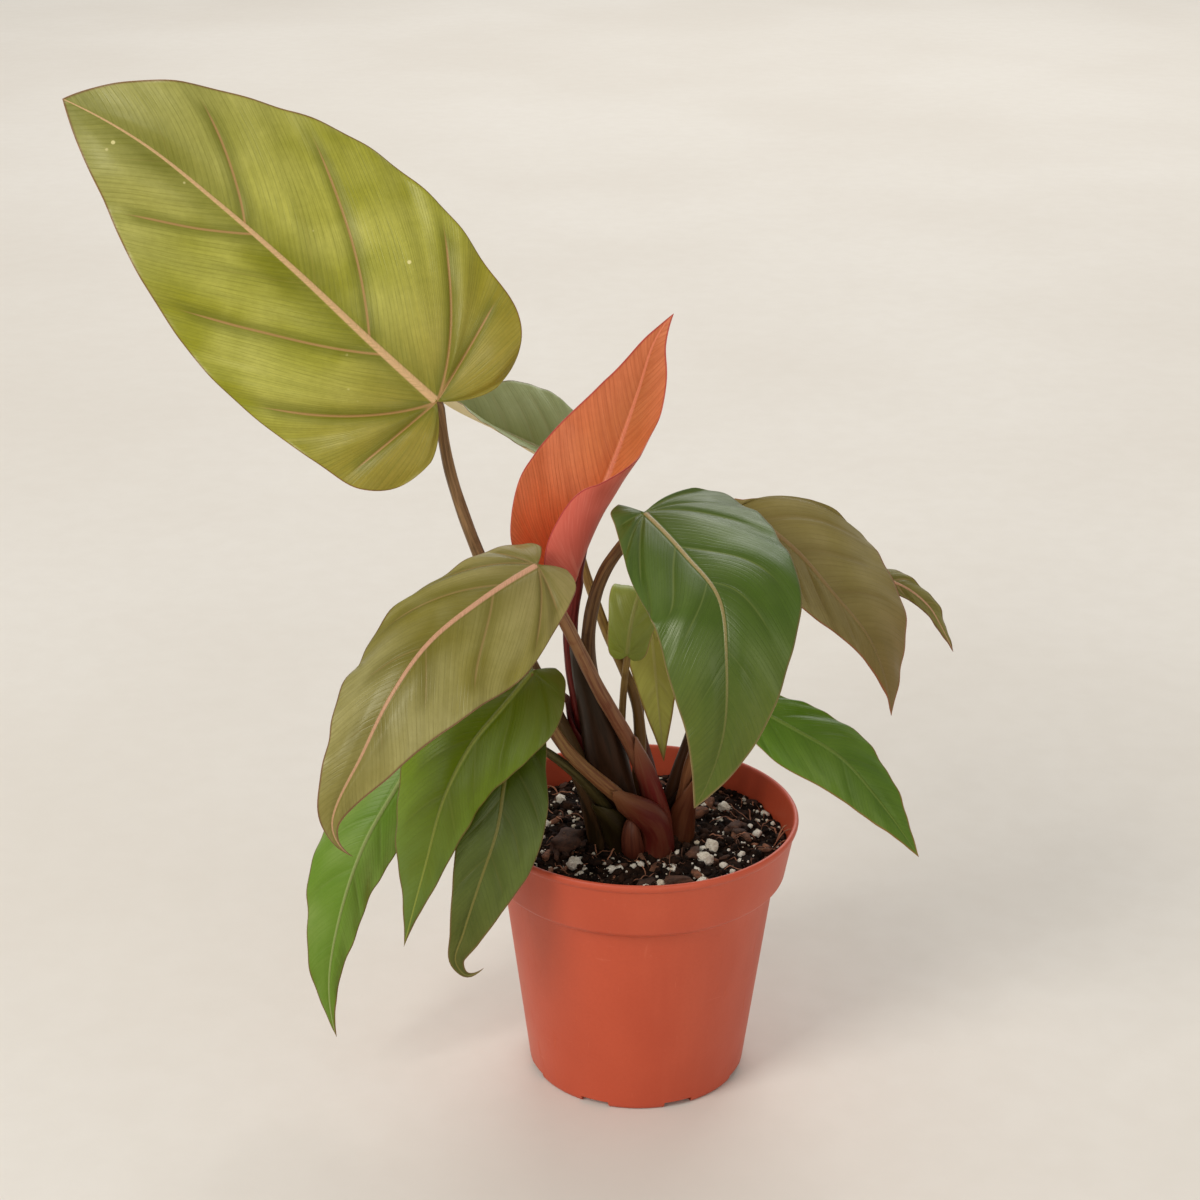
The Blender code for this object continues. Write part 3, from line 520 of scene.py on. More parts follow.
LOOKS = {   # upper face, then lower face: base, deep, rib
 "olive": (dict(base=rgb(142, 141, 14), crest=rgb(180, 176, 78), lane=rgb(92, 94, 2), rib=rgb(212, 170, 124), vein=rgb(178, 130, 84),
                edge=rgb(104, 54, 34), streak=.45, tip=rgb(164, 160, 92), lobe=rgb(140, 120, 36), spots=.8, lines=.7, fine=.32),
           (rgb(176, 152, 84), rgb(146, 122, 56), rgb(206, 150, 108))),
 # sage: leaf_02's pale top and cream underside, partly the leaf's own colour and partly brightened as painted light
 # where the leaf faces into shade
 "sage": (dict(base=rgb(162, 174, 116), crest=rgb(176, 186, 134), lane=rgb(134, 142, 88), rib=rgb(170, 150, 104), edge=rgb(112, 84, 58),
               streak=.35, lines=.12, ribs=.7, lanes=.5, fine=.2),
          (rgb(232, 220, 178), rgb(216, 200, 146), rgb(222, 204, 150))),
 # orange: the darker tip colour is painted shade
 "orange": (dict(base=rgb(208, 108, 50), crest=rgb(224, 132, 80), lane=rgb(160, 74, 32), rib=rgb(226, 128, 98), edge=rgb(150, 22, 38),
                 streak=.7, lobe=rgb(222, 78, 42), tip=rgb(146, 84, 38), blush=rgb(222, 124, 84), lines=.10, lanes=.35, fine=.5, ribs=.6, span=(.25, .90, .48)),
            (rgb(212, 108, 90), rgb(188, 84, 70), rgb(226, 138, 118))),
 "bronze": (dict(base=rgb(124, 114, 38), crest=rgb(156, 148, 92), lane=rgb(96, 88, 18), rib=rgb(208, 154, 124), vein=rgb(172, 132, 92),
                 edge=rgb(104, 52, 42), streak=.40, tip=rgb(154, 144, 80), lobe=rgb(148, 132, 82), lines=.30, ribend=.75),
            (rgb(128, 100, 60), rgb(104, 78, 44), rgb(176, 118, 88))),
 "copper": (dict(base=rgb(126, 112, 52), crest=rgb(144, 130, 80), lane=rgb(104, 88, 36), rib=rgb(148, 116, 78), vein=rgb(128, 100, 62),
                 edge=rgb(150, 78, 50), streak=.40, tip=rgb(120, 92, 46), lines=.12, ribs=.75, ribend=.25, lanes=.7),
            (rgb(136, 108, 66), rgb(112, 86, 50), rgb(168, 116, 84))),
 # green: the bluish tip colour is a painted sheen
 "green": (dict(base=rgb(104, 128, 4), crest=rgb(112, 134, 34), lane=rgb(86, 102, 2), rib=rgb(136, 142, 56), edge=rgb(104, 70, 36),
                streak=.40, tip=rgb(84, 108, 56), lobe=rgb(92, 82, 26), lines=.10, ribs=.85, lanes=.8),
           (rgb(126, 128, 56), rgb(100, 104, 36), rgb(160, 142, 84))),
 "leafgreen": (dict(base=rgb(96, 130, 24), crest=rgb(126, 150, 70), lane=rgb(86, 120, 18), rib=rgb(150, 160, 98), edge=rgb(112, 62, 42),
                    streak=.45, tip=rgb(100, 124, 36), lines=.10, ribs=.8, lanes=.8),
               (rgb(134, 142, 70), rgb(108, 118, 44), rgb(160, 150, 92))),
 "deep": (dict(base=rgb(68, 84, 8), crest=rgb(90, 104, 40), lane=rgb(56, 68, 2), rib=rgb(122, 112, 52), edge=rgb(112, 84, 46),
               streak=.40, tip=rgb(92, 88, 34), lines=.10, ribs=.8, lanes=.7),
          (rgb(110, 104, 50), rgb(88, 82, 34), rgb(140, 112, 72))),
 "dark": (dict(base=rgb(58, 84, 6), crest=rgb(78, 98, 34), lane=rgb(52, 72, 4), rib=rgb(160, 136, 90), vein=rgb(118, 126, 66),
               edge=rgb(120, 98, 60), streak=.40, tip=rgb(94, 100, 34), lobe=rgb(84, 96, 46), lines=.35, ribend=.10, lanes=.8, gloss=.30),
          (rgb(112, 120, 64), rgb(90, 98, 44), rgb(170, 150, 104))),
 "fresh": (dict(base=rgb(80, 114, 12), crest=rgb(98, 126, 34), lane=rgb(62, 92, 2), rib=rgb(108, 124, 44), edge=rgb(148, 98, 52),
                streak=.35, lines=.06, ribs=.6, lanes=.7),
           (rgb(116, 128, 52), rgb(94, 106, 34), rgb(140, 136, 74))),
 # lit: leaf_12's colours, brightened (the lower face most) as painted light for the light that passes through the leaf
 "lit": (dict(base=rgb(138, 150, 58), crest=rgb(150, 160, 76), lane=rgb(122, 132, 46), rib=rgb(156, 150, 84), edge=rgb(150, 104, 60),
              streak=.35, lines=.06, ribs=.6, lanes=.6),
         (rgb(206, 206, 104), rgb(176, 172, 84), rgb(190, 184, 108))),
}
MATS = {}
for look, (t, u) in LOOKS.items():
    MATS[look] = [leaf_top("leaf_" + look + "_upper", **t),
                  leaf_under("leaf_" + look + "_lower", u[0], u[1], u[2], t["edge"]),
                  leaf_rim("leaf_" + look + "_margin", t["edge"], u[2])]

LEAVES = {
 "leaf_01": ("olive", "leaf_olive", dict(
    mid=[(-74, 12, 261), (-97, 20, 280), (-125, 30, 304), (-152, 38, 326), (-180, 44, 347), (-208, 50, 361)],
    face=[(0, -.9, .4), (.1, -.9, .4), (0, -.9, .4)],
    wl=outline(49, .35, .85, .8), wr=outline(54, .35, .8, .85), lobes=(13, 12.7),
    fold=[(6, 8), (4, 6), (4, 4)], curl=[(-14, -20), (-12, -16), (-10, -10)]),
    dict(K=120, M=34, rib=1.45, quilt=1.9, wave=1.5, nwave=4.2, seed=4,
         veins=[('f', .34, .9), ('f', .72, 1), ('m', .17, 1), ('m', .34, .2), ('m', .52, .95), ('m', .74, .2)])),
 "leaf_02": ("sage", "leaf_sage", dict(
    mid=[(-25, 44, 226), (-38, 52, 230), (-54, 63, 234), (-68, 74, 237), (-78, 84, 239)],
    face=[(.1, -.4, .9), (0, -.3, 1), (-.1, -.2, 1)],
    wl=outline(18, .5, .5, .7), wr=outline(24, .5, .6, .9), lobes=(4, 4),
    fold=[(34, 35), (47, 35), (70, 35)], curl=[(-10, -25), (-10, -25), (-5, -10)]),
    dict(K=60, M=20, rib=.8, quilt=.12, wave=.25, seed=7)),
 "leaf_03": ("orange", "leaf_orange", dict(
    mid=[(-25, -8, 202), (-20, -5, 218), (-14, 1, 233), (-8, 5, 249), (-2, 8, 267), (4, 9, 286), (10, 9, 295)],
    face=[(-.4, -.9, .2), (-.3, -.9, .3), (-.2, -1, .1)],
    wl=outline(32, .2, .65, 1.5), wr=outline(29, .2, .7, 1.1), lobes=(6, 6),
    fold=[(20, 40), (8, 16), (10, 20)], curl=[(60, 190), (30, 100), (10, 30)]),
    dict(K=100, M=32, rib=1.2, quilt=.35, wave=.35, nwave=3.0, seed=9,
         veins=[('f', .30, .35), ('f', .62, .4), ('m', .14, .35), ('m', .45, .3)])),
 "leaf_04": ("bronze", "leaf_bronze", dict(
    mid=[(-37, -38, 218), (-56, -54, 211), (-73, -68, 201), (-84, -78, 188), (-94, -85, 169), (-105, -89, 142), (-99, -86, 130)],
    face=[(.1, -.4, .9), (-.3, -.7, .6), (-.2, -.9, -.1)],
    wl=outline(31, .3, .6, 1.8), wr=outline(24, .4, .6, 1.4), lobes=(7, 7),
    fold=[(2, 2), (-6, -6), (10, 10)], curl=[(-30, -36), (-30, -36), (0, 0)]),
    dict(K=100, M=28, rib=1.05, quilt=.9, wave=.7, seed=12,
         veins=[('f', .36, .9), ('f', .75, .9), ('m', .13, .9), ('m', .36, .5), ('m', .58, .3)])),
 "leaf_05": ("green", "leaf_green", dict(
    mid=[(-39, -26, 173), (-48, -38, 166), (-60, -50, 155), (-69, -58, 139), (-76, -63, 114), (-84, -65, 83)],
    face=[(0, -.4, .9), (-.3, -.8, .4), (-.4, -.9, .1)],
    wl=outline(20, .15, .7, 1.4), wr=outline(26, .3, .65, 1.4), lobes=(6, 7),
    fold=[(-8, 0), (-34, -4), (-25, 8)], curl=[(-26, -26), (-30, -30), (0, 0)]),
    dict(K=90, M=26, rib=.75, quilt=.5, wave=.6, seed=15)),
 "leaf_06": ("leafgreen", "leaf_green", dict(
    mid=[(-77, -2, 138), (-91, -12, 118), (-102, -18, 99), (-111, -23, 73), (-116, -26, 44), (-114, -25, 21)],
    face=[(-.3, -.7, .7), (-.4, -.9, .3), (-.3, -.9, -.2)],
    wl=outline(14, .2, .7, 1.2), wr=outline(20, .35, .55, 1.3), lobes=(7, 7),
    fold=[(-20, 0), (-40, 8), (-30, 8)], curl=[(-26, -26), (-30, -30), (0, 0)]),
    dict(K=84, M=24, rib=.8, quilt=.5, wave=.7, seed=16)),
 "leaf_07": ("deep", "leaf_dark", dict(
    mid=[(-44, -28, 149), (-48, -42, 141), (-51, -54, 124), (-57, -59, 106), (-63, -62, 87), (-66, -62, 75), (-62, -61, 69), (-56, -59, 71)],
    face=[(.1, -.3, .9), (-.1, -1, .2), (0, -.9, .4)],
    wl=outline(17, .35, .6, 1.5), wr=outline(16, .2, .7, 1.5), lobes=(6, 6),
    fold=[(0, 0), (14, 14), (10, 10)], curl=[(-20, -20), (-36, -36), (0, 0)]),
    dict(K=84, M=22, rib=.6, quilt=.4, wave=.4, seed=18)),
 "leaf_08": ("dark", "leaf_dark", dict(
    mid=[(0, -20, 231), (14, -44, 224), (25, -66, 216), (27, -77, 200), (26, -83, 173), (17, -86, 149)],
    face=[(-.1, -.3, 1), (0, -.8, .6), (0, -1, .1)],
    wl=outline(38, .05, .95, 1.1), wr=outline(24, .4, .5, .9), lobes=(4, 9),
    fold=[(4, 6), (6, 8), (8, 8)], curl=[(-36, -40), (-40, -40), (-10, -10)]),
    dict(K=110, M=32, rib=.70, quilt=.8, wave=.7, seed=21,
         veins=[('f', .22, .8), ('f', .50, .9), ('f', .82, .8), ('m', .16, .8), ('m', .36, .6), ('m', .58, .4)])),
 "leaf_09": ("copper", "leaf_bronze", dict(
    mid=[(34, 6, 224), (55, 0, 210), (68, -4, 196), (83, -6, 177), (92, -5, 147)],
    face=[(.2, -.6, .8), (.5, -.7, .5), (.8, -.6, .1)],
    wl=outline(36, .45, .1, 1.3), wr=outline(14, .25, .55, 1.4), lobes=(3, 5),
    fold=[(0, -30), (0, -34), (6, -20)], curl=[(-26, -26), (-34, -34), (0, 0)]),
    dict(K=90, M=28, rib=.8, quilt=.6, wave=.6, seed=24)),
 "leaf_10": ("bronze", "leaf_bronze", dict(
    mid=[(66, 48, 187), (84, 45, 184), (101, 42, 179), (110, 40, 172), (115, 39, 164), (120, 39, 154)],
    face=[(0, -.4, .9), (.3, -.5, .8), (.8, -.6, .3)],
    wl=outline(7, .4, .85, .9), wr=outline(5, .15, .8, .9), lobes=(3, 3),
    fold=[(0, -30), (0, -40), (6, -30)], curl=[(-20, -20), (-20, -20), (0, 0)]),
    dict(K=60, M=18, rib=.6, quilt=.35, wave=.5, seed=27)),
 "leaf_11": ("fresh", "leaf_green", dict(
    mid=[(38, -6, 152), (56, -11, 144), (73, -16, 135), (87, -20, 120), (103, -21, 97)],
    face=[(.2, -.5, .8), (.3, -.7, .6), (.5, -.8, .3)],
    wl=outline(15, .4, .6, 1.2), wr=outline(15, .3, .65, 1.1), lobes=(5, 5),
    fold=[(4, 4), (0, 0), (6, 6)], curl=[(-26, -26), (-30, -30), (0, 0)]),
    dict(K=70, M=20, rib=.65, quilt=.4, wave=.5, seed=30)),
 "leaf_12": ("lit", "leaf_green", dict(
    mid=[(-5, 17, 161), (-3, 21, 175), (0, 27, 183), (4, 34, 165), (7, 37, 137), (10, 36, 108)],
    face=[(-.1, -.9, .3), (.2, .9, .2), (0, 1, -.1)],
    wl=outline(12, .4, .55, 1.1), wr=outline(12, .4, .55, 1.1), lobes=(2, 2),
    fold=[(0, 0), (0, 0), (0, 0)], curl=[(-20, -20), (-20, -20), (-10, -10)]),
    dict(K=80, M=20, rib=.6, quilt=.35, wave=.4, seed=33)),
}
BLADES = {}
for key, (look, slot, kw, opt) in LEAVES.items():
    BLADES[key] = leaf(key, kw, MATS[look], slot, **opt)


# ================================================================ stalks
def stalk_mat(name, foot, low, top, stripe, gloss=.40, wrap=None):
    m = Mat(name, IOR=1.45, Specular_IOR_Level=.24, Specular_Tint=(1.0, .93, .80, 1.0))
    uv = m.node("ShaderNodeUVMap", {"uv_map": "stalk_uv"})
    s1 = m.noise(m.uv("stalk_uv", (14.0, 0.35, 1)), 1.0, 3.0, .65)
    s2 = m.noise(m.uv("stalk_uv", (30.0, 1.2, 1)), 1.0, 2.0, .6)
    blot = m.noise(m.obj((1, 1, 1)), 120.0, 3.0, .6)
    h = m.attr("height")
    # darker from the top down to the foot: the stalk's own colour, deepened with painted shade near the crown
    c = m.mix(m.ramp(h, .22, .75), low, top)
    c = m.mix(m.ramp(h, .02, .24, 1.0, 0.0), c, foot)
    c = m.mix(m.ramp(s1, .42, .60, 0.0, .75), c, stripe)
    c = m.mix(m.ramp(s2, .45, .7, 0.0, .35), c, low)
    c = m.mix(m.ramp(blot, .55, .75, 0.0, .35), c, foot)
    # the sheath: the foot colour at its bottom, with the same painted shade, towards the wrap colour at its top
    w = m.mix(m.ramp(s1, .4, .62, 0.0, .7), foot, stripe)
    w = m.mix(m.ramp(h, .50, 1.05), w, wrap or low)
    c = m.mix(m.ramp(m.attr("sheath"), .2, .8), c, w)
    r = m.ramp(blot, .3, .7, gloss - .06, gloss + .10)
    nb = m.bump(m.math("ADD", s1, m.math("MULTIPLY", s2, .4)), .0003, .6)
    return m.finish(c, r, nb)


# the foot colours, and partly the low ones, are darkened with painted shade near the crown
S = {
 "p1": stalk_mat("stalk_01_skin", rgb(38, 28, 12), rgb(92, 72, 42), rgb(140, 108, 72), rgb(88, 62, 38)),
 "ochre": stalk_mat("stalk_ochre_skin", rgb(84, 50, 28), rgb(118, 88, 42), rgb(150, 122, 66), rgb(98, 66, 34)),
 "maroon": stalk_mat("stalk_maroon_skin", rgb(68, 14, 13), rgb(92, 20, 22), rgb(130, 42, 36), rgb(66, 12, 15), .36, rgb(96, 24, 26)),
 "p4": stalk_mat("stalk_04_skin", rgb(100, 28, 24), rgb(132, 84, 58), rgb(152, 112, 76), rgb(108, 58, 42)),
 "p5": stalk_mat("stalk_05_skin", rgb(84, 26, 20), rgb(118, 76, 46), rgb(140, 106, 62), rgb(98, 52, 34), wrap=rgb(120, 78, 48)),
 "brown": stalk_mat("stalk_brown_skin", rgb(38, 22, 12), rgb(80, 50, 30), rgb(118, 86, 54), rgb(62, 38, 24), wrap=rgb(48, 33, 17)),
 "p11": stalk_mat("stalk_11_skin", rgb(74, 34, 18), rgb(118, 70, 42), rgb(140, 100, 62), rgb(94, 54, 32)),
 "p7": stalk_mat("stalk_07_skin", rgb(35, 25, 9), rgb(58, 50, 22), rgb(92, 84, 46), rgb(48, 40, 18)),
 "red": stalk_mat("stalk_red_skin", rgb(66, 26, 18), rgb(88, 40, 27), rgb(100, 56, 38), rgb(66, 28, 20)),
}
Z0 = CROWN_Z - 3.0
STALKS = {   # skin, slot, path, radii, sheath: (height along the stalk, half width at the foot, lean outwards)
 "leaf_01": ("p1", "stalk_brown", [(-13, -5, Z0), (-15, -5, 108), (-30, -2, 142), (-59, 7, 203), (-70, 13, 235)], (4.6, 2.9, 2.0), (34, 6.2, .8, (1, .95, .75, .45))),
 "leaf_02": ("ochre", "stalk_ochre", [(0, 8, Z0), (0, 10, 110), (-1, 16, 140), (-14, 27, 170), (-24, 36, 200)], (3.8, 2.0, 1.7), None),
 "leaf_03": ("maroon", "stalk_maroon", [(-9, 3, Z0), (-12, 3, 108), (-22, 0, 145), (-26, -4, 178)], (4.6, 3.3, 2.6), (60, 5.8, .3, (1, .95, .86, .72))),
 "leaf_04": ("p4", "stalk_maroon", [(8, -4, Z0), (6, -5, 110), (-4, -11, 138), (-15, -19, 162), (-27, -29, 192)], (4.4, 2.8, 2.1), (50, 4.9, 0, (1, .80, .62, .42))),
 "leaf_05": ("p5", "stalk_ochre", [(6, -11, Z0), (5, -13, 106), (-8, -19, 120), (-28, -25, 143), (-37, -27, 162)], (5.6, 2.8, 1.8), (38, 6.6, 0, (1, .78, .52, .34))),
 "leaf_06": ("brown", "stalk_brown", [(-15, 8, Z0), (-18, 9, 104), (-28, 9, 128), (-44, 7, 148), (-62, 2, 150)], (3.8, 2.2, 1.6), None),
 "leaf_07": ("p7", "stalk_brown", [(-7, -9.5, Z0), (-9, -11, 104), (-20, -17, 124), (-34, -24, 140)], (4.2, 2.2, 1.4), (26, 5.6, .6, (1, .9, .7, .45))),
 "leaf_08": ("brown", "stalk_brown", [(-4, -3, Z0), (-8, -3, 108), (-16, -5, 150), (-19.5, -7, 177), (-14, -12, 205)], (4.6, 3.0, 2.0), (84, 7.2, .3, (.95, 1.02, .92, .78))),
 "leaf_09": ("brown", "stalk_brown", [(9, 4, Z0), (12, 5, 108), (21, 7, 140), (31, 9, 180)], (3.8, 2.2, 1.7), (26, 4.4, .6, (1, .9, .7, .55))),
 "leaf_10": ("red", "stalk_maroon", [(7, 12, Z0), (5, 20, 106), (0, 40, 126), (4, 49, 150), (28, 51, 176)], (3.6, 2.0, 1.5), None),
 "leaf_11": ("p11", "stalk_brown", [(15, -1, Z0), (16, -1, 107), (20, -2, 130), (28, -4, 147)], (4.4, 2.4, 1.6), (30, 5.4, 1.0, (1, .88, .62, .45))),
 "leaf_12": ("ochre", "stalk_ochre", [(-8, 11, Z0), (-8, 12, 106), (-7, 14, 130), (-6, 16, 150)], (3.4, 1.6, 1.2), None),
}


def tube(C, rad, sides, side0, verts, faces, uvs, att, groove=0.0, flag=0.0, L=None, vshift=0.0, cap=True):
    """A tube with radii 'rad' round the curve C, with an optional channel on its upper side."""
    T = unit(np.gradient(C, axis=0))
    side = unit(side0 - T[0] * (side0 @ T[0]))
    s = np.concatenate([[0], np.cumsum(np.linalg.norm(np.diff(C, axis=0), axis=1))])
    L = L or s[-1]
    rings, frames = [], []
    for i in range(len(C)):
        side = unit(side - T[i] * (side @ T[i]))
        nor = np.cross(side, T[i])
        frames.append((side.copy(), nor.copy(), T[i]))
        ring = []
        for j in range(sides + 1):
            ang = 2 * math.pi * j / sides
            r = rad[i] * (1 - groove * math.exp(-((ang - math.pi / 2) / .38) ** 2))
            r *= 1 + 0.025 * math.sin(5 * ang + s[i] * .02) + 0.02 * math.sin(s[i] * .35 + 2 * ang)
            if j < sides:
                verts.append(C[i] + side * (r * math.cos(ang)) + nor * (r * math.sin(ang)))
                uvs.append((j / sides, s[i] * .1 + vshift))
                att["height"].append(s[i] / L)
                att["sheath"].append(flag)
                ring.append(len(verts) - 1)
        rings.append(ring)
    for A, B in zip(rings[:-1], rings[1:]):
        for j in range(sides):
            faces.append((A[j], A[(j + 1) % sides], B[(j + 1) % sides], B[j]))
    if cap:
        for ring, k in ((rings[0], 0), (rings[-1], -1)):
            verts.append(C[k] + T[k] * (rad[k] * (.25 if k else -.25)))
            uvs.append((.5, s[k] * .1 + vshift))
            att["height"].append(s[k] / L)
            att["sheath"].append(flag)
            c = len(verts) - 1
            for j in range(sides):
                faces.append((ring[j], ring[(j + 1) % sides], c) if k else (ring[(j + 1) % sides], ring[j], c))
    return frames, s


def stalk(key, skin, slot, path, radii, sheath):
    b = BLADES[key]
    aa = np.array([0.0, 5.0, 11.0, 18.0])
    m, T, N, Sd, q = b.frame(aa)
    off = radii[2] * .95
    near = m[0] + (np.array(path[-1]) - m[0]) * .13 - N[0] * off * .9
    base = [tuple(near), tuple(m[0] - N[0] * off)] + [tuple(m[i] - N[i] * (off * .9 - .25 * i)) for i in (1, 2, 3)]
    C = even(smooth_curve(path + base, 16), 401)
    C = even(C, 78)
    s = np.concatenate([[0], np.cumsum(np.linalg.norm(np.diff(C, axis=0), axis=1))])
    L = s[-1]
    body = L - 18.0
    u = s / body
    rad = np.interp(u, (0, .09, .33, 1), (radii[0], (radii[0] + radii[1]) / 2 + .15, radii[1], radii[2]))
    rad = rad * np.interp(s, (body - 9, body - 2, body + 4, L), (1, 1.16, .86, .30))
    verts, faces, uvs = [], [], []
    att = {"height": [], "sheath": []}
    cx = np.array((0.0, 0.0, 1.0))
    outw = np.array((C[0][0], C[0][1], 0.0)) if math.hypot(C[0][0], C[0][1]) > 1 else np.array((0, 1.0, 0))
    side0 = np.cross(cx, unit(outw))
    frames, _ = tube(C, rad, 20, side0, verts, faces, uvs, att, groove=.16, L=body)
    if sheath:
        h, wid, lean, bulge = sheath
        n = 30
        k = int(np.searchsorted(s, h))
        Cs = even(C[:k + 1], n)
        Rs = np.interp(np.linspace(0, s[k], n), s, rad)
        fr = [frames[min(int(round(x)), k)] for x in np.linspace(0, k, n)]
        m2 = 17
        grid = []
        for i in range(n):
            v = i / (n - 1)
            sd, nr, t = fr[i]
            inner = -nr                                # the sheath opens towards the crown's middle
            half = math.radians(148) * (1 - v ** 2.4) ** .8 + math.radians(8)
            r0 = max(Rs[i] * 1.06 + .2, wid * float(np.interp(v, (0, .5, .8, 1), bulge))) + lean * v ** 3
            rows = []
            for th in (0.0, .55):
                row = []
                for j in range(m2):
                    x = -1 + 2 * j / (m2 - 1)
                    ang = x * half
                    rr = r0 + th * (1 - abs(x) ** 3 * .6) * (1 - .5 * v) + .22 * math.sin(ang * 3 + i * .3)
                    flare = 1 + .10 * abs(x) ** 3
                    row.append(Cs[i] + (sd * math.sin(ang) - inner * math.cos(ang)) * rr * flare + t * (.8 * (1 - abs(x)) * v))
                rows.append(row)
            grid.append(rows)
        base_i = len(verts)
        for i in range(n):
            for th in (0, 1):
                for j in range(m2):
                    verts.append(grid[i][th][j])
                    uvs.append((j / (m2 - 1) * .6 + .2, i / n * h * .1 + 7))
                    att["height"].append(i / (n - 1))
                    att["sheath"].append(.85)
        ix = lambda i, th, j: base_i + (i * 2 + th) * m2 + j
        for i in range(n - 1):
            for j in range(m2 - 1):
                faces.append((ix(i, 1, j), ix(i, 1, j + 1), ix(i + 1, 1, j + 1), ix(i + 1, 1, j)))
                faces.append((ix(i, 0, j + 1), ix(i, 0, j), ix(i + 1, 0, j), ix(i + 1, 0, j + 1)))
            for j in (0, m2 - 1):
                faces.append((ix(i, 0, j), ix(i, 1, j), ix(i + 1, 1, j), ix(i + 1, 0, j)))
        for i in (0, n - 1):
            for j in range(m2 - 1):
                faces.append((ix(i, 0, j), ix(i, 0, j + 1), ix(i, 1, j + 1), ix(i, 1, j)))
    ob = make(key + "_petiole", verts, faces, [S[skin]], None, att, {"stalk_uv": uvs})
    place(ob, slot, key + "_stalk")
    return ob


for key, (skin, slot, path, radii, sheath) in STALKS.items():
    stalk(key, skin, slot, path, radii, sheath)

# the pointed bud scale at the front of the crown
bv, bf, bu, ba = [], [], [], {"height": [], "sheath": []}
Cb = even(smooth_curve([(-2, -13.5, 92), (-2.6, -16.2, 98), (-3.2, -17.2, 104), (-3.0, -16.4, 110.5)], 12), 26)
ub = np.linspace(0, 1, 26)
tube(Cb, 4.6 * np.sqrt(np.clip(1 - ub ** 1.9, 0.004, 1)) * (0.86 + .3 * ub), 18, np.array((1.0, 0, 0)), bv, bf, bu, ba)
place(make("bud_scale_skin", bv, bf, [S["red"]], None, ba, {"stalk_uv": bu}), "stalk_maroon", "bud_scale")


# ================================================================ pot
def pot_mat():
    m = Mat("terracotta_plastic_skin", IOR=1.46)
    o = m.obj((1, 1, 1))
    big = m.noise(o, 18.0, 3.0, .5, .4)
    grain = m.noise(o, 900.0, 3.0, .6)
    flow = m.noise(m.obj((60, 60, 5)), 1.0, 3.0, .6)
    scr = m.noise(m.obj((260, 260, 26)), 1.0, 2.0, .7, 1.5)
    scr2 = m.noise(m.obj((40, 40, 520)), 1.0, 2.0, .7, .8)
    dust = m.noise(o, 150.0, 5.0, .75)
    c = m.mix(m.ramp(big, .3, .7), rgb(192, 79, 48), rgb(184, 73, 43))
    c = m.mix(m.ramp(flow, .45, .75, 0.0, .25), c, rgb(200, 90, 58))
    c = m.mix(m.ramp(scr, .68, .76, 0.0, .22), c, rgb(212, 120, 88))
    c = m.mix(m.ramp(scr2, .70, .78, 0.0, .22), c, rgb(220, 130, 98))
    c = m.mix(m.ramp(dust, .66, .80, 0.0, .30), c, rgb(214, 144, 112))
    c = m.mix(m.ramp(grain, .35, .7, 0.0, .12), c, rgb(168, 62, 36))
    r = m.ramp(big, .3, .7, .40, .50)
    r = m.math("ADD", r, m.ramp(scr, .60, .75, 0.0, .12))
    nb = m.bump(grain, .00006, .6)
    nb = m.bump(m.math("ADD", flow, m.math("MULTIPLY", scr, .3)), .00025, .25, nb)
    return m.finish(c, r, nb)


def rounded(P, r, n=4):
    """The profile P with its corners rounded by up to r."""
    P = [np.array(p, float) for p in P]
    out = [P[0]]
    for a, b, c in zip(P[:-2], P[1:-1], P[2:]):
        da, dc = a - b, c - b
        la, lc = np.linalg.norm(da), np.linalg.norm(dc)
        k = min(r, la * .45, lc * .45)
        p0, p2 = b + da / la * k, b + dc / lc * k
        for t in np.linspace(0, 1, n):
            out.append((1 - t) ** 2 * p0 + 2 * t * (1 - t) * b + t * t * p2)
    out.append(P[-1])
    return out


def lathe(profile, seg):
    verts, faces, rings = [], [], []
    for r, z in profile:
        if r <= 1e-6:
            verts.append((0.0, 0.0, z))
            rings.append([len(verts) - 1] * seg)
        else:
            n0 = len(verts)
            for i in range(seg):
                a = 2 * math.pi * i / seg
                verts.append((r * math.cos(a), r * math.sin(a), z))
            rings.append(list(range(n0, n0 + seg)))
    for A, B in zip(rings[:-1], rings[1:]):
        for i in range(seg):
            j = (i + 1) % seg
            f = []
            for v in (A[i], A[j], B[j], B[i]):
                if v not in f:
                    f.append(v)
            if len(f) > 2:
                faces.append(f)
    return verts, faces


zb = POT_H - BAND_H
OUTER = [(0, 0), (20, 0), (22.5, 3.0), (34.5, 3.0), (36.5, 0), (FOOT_R - .7, 0), (FOOT_R, 1.6),
         (NECK_R, zb - 2.0), (NECK_R + 1.4, zb - 0.9), (BAND_R - 1.2, zb - 0.2), (BAND_R, zb + 1.2),
         (RIM_R - 1.25, POT_H - 3.4), (RIM_R - 0.3, POT_H - 2.4), (RIM_R, POT_H - 1.1), (RIM_R - .5, POT_H)]
INNER = [(RIM_R - 1.6, POT_H), (RIM_R - 2.1, POT_H - 0.8), (BAND_R - WALL, zb + 1.5),
         (BAND_R - WALL - 1.2, zb + 0.2), (NECK_R - WALL, zb - 2.4),
         (FOOT_R - WALL, 5.4), (FOOT_R - WALL - 1.2, 4.2), (22.0, 4.2), (18.8, 1.2), (0, 1.2)]
prof = rounded(OUTER + INNER, .55)
fineprof = [prof[0]]
for p in prof[1:]:                                       # no ring taller than 6 mm
    q0 = fineprof[-1]
    n = max(1, int(math.ceil(np.linalg.norm(np.asarray(p) - q0) / 6.0)))
    for i in range(1, n + 1):
        fineprof.append(q0 + (np.asarray(p) - q0) * i / n)
pv, pf = lathe(fineprof, 160)
POT_M = pot_mat()
pot = make("pot_shell", pv, pf, [POT_M], sharp=50)
cut = bmesh.new()
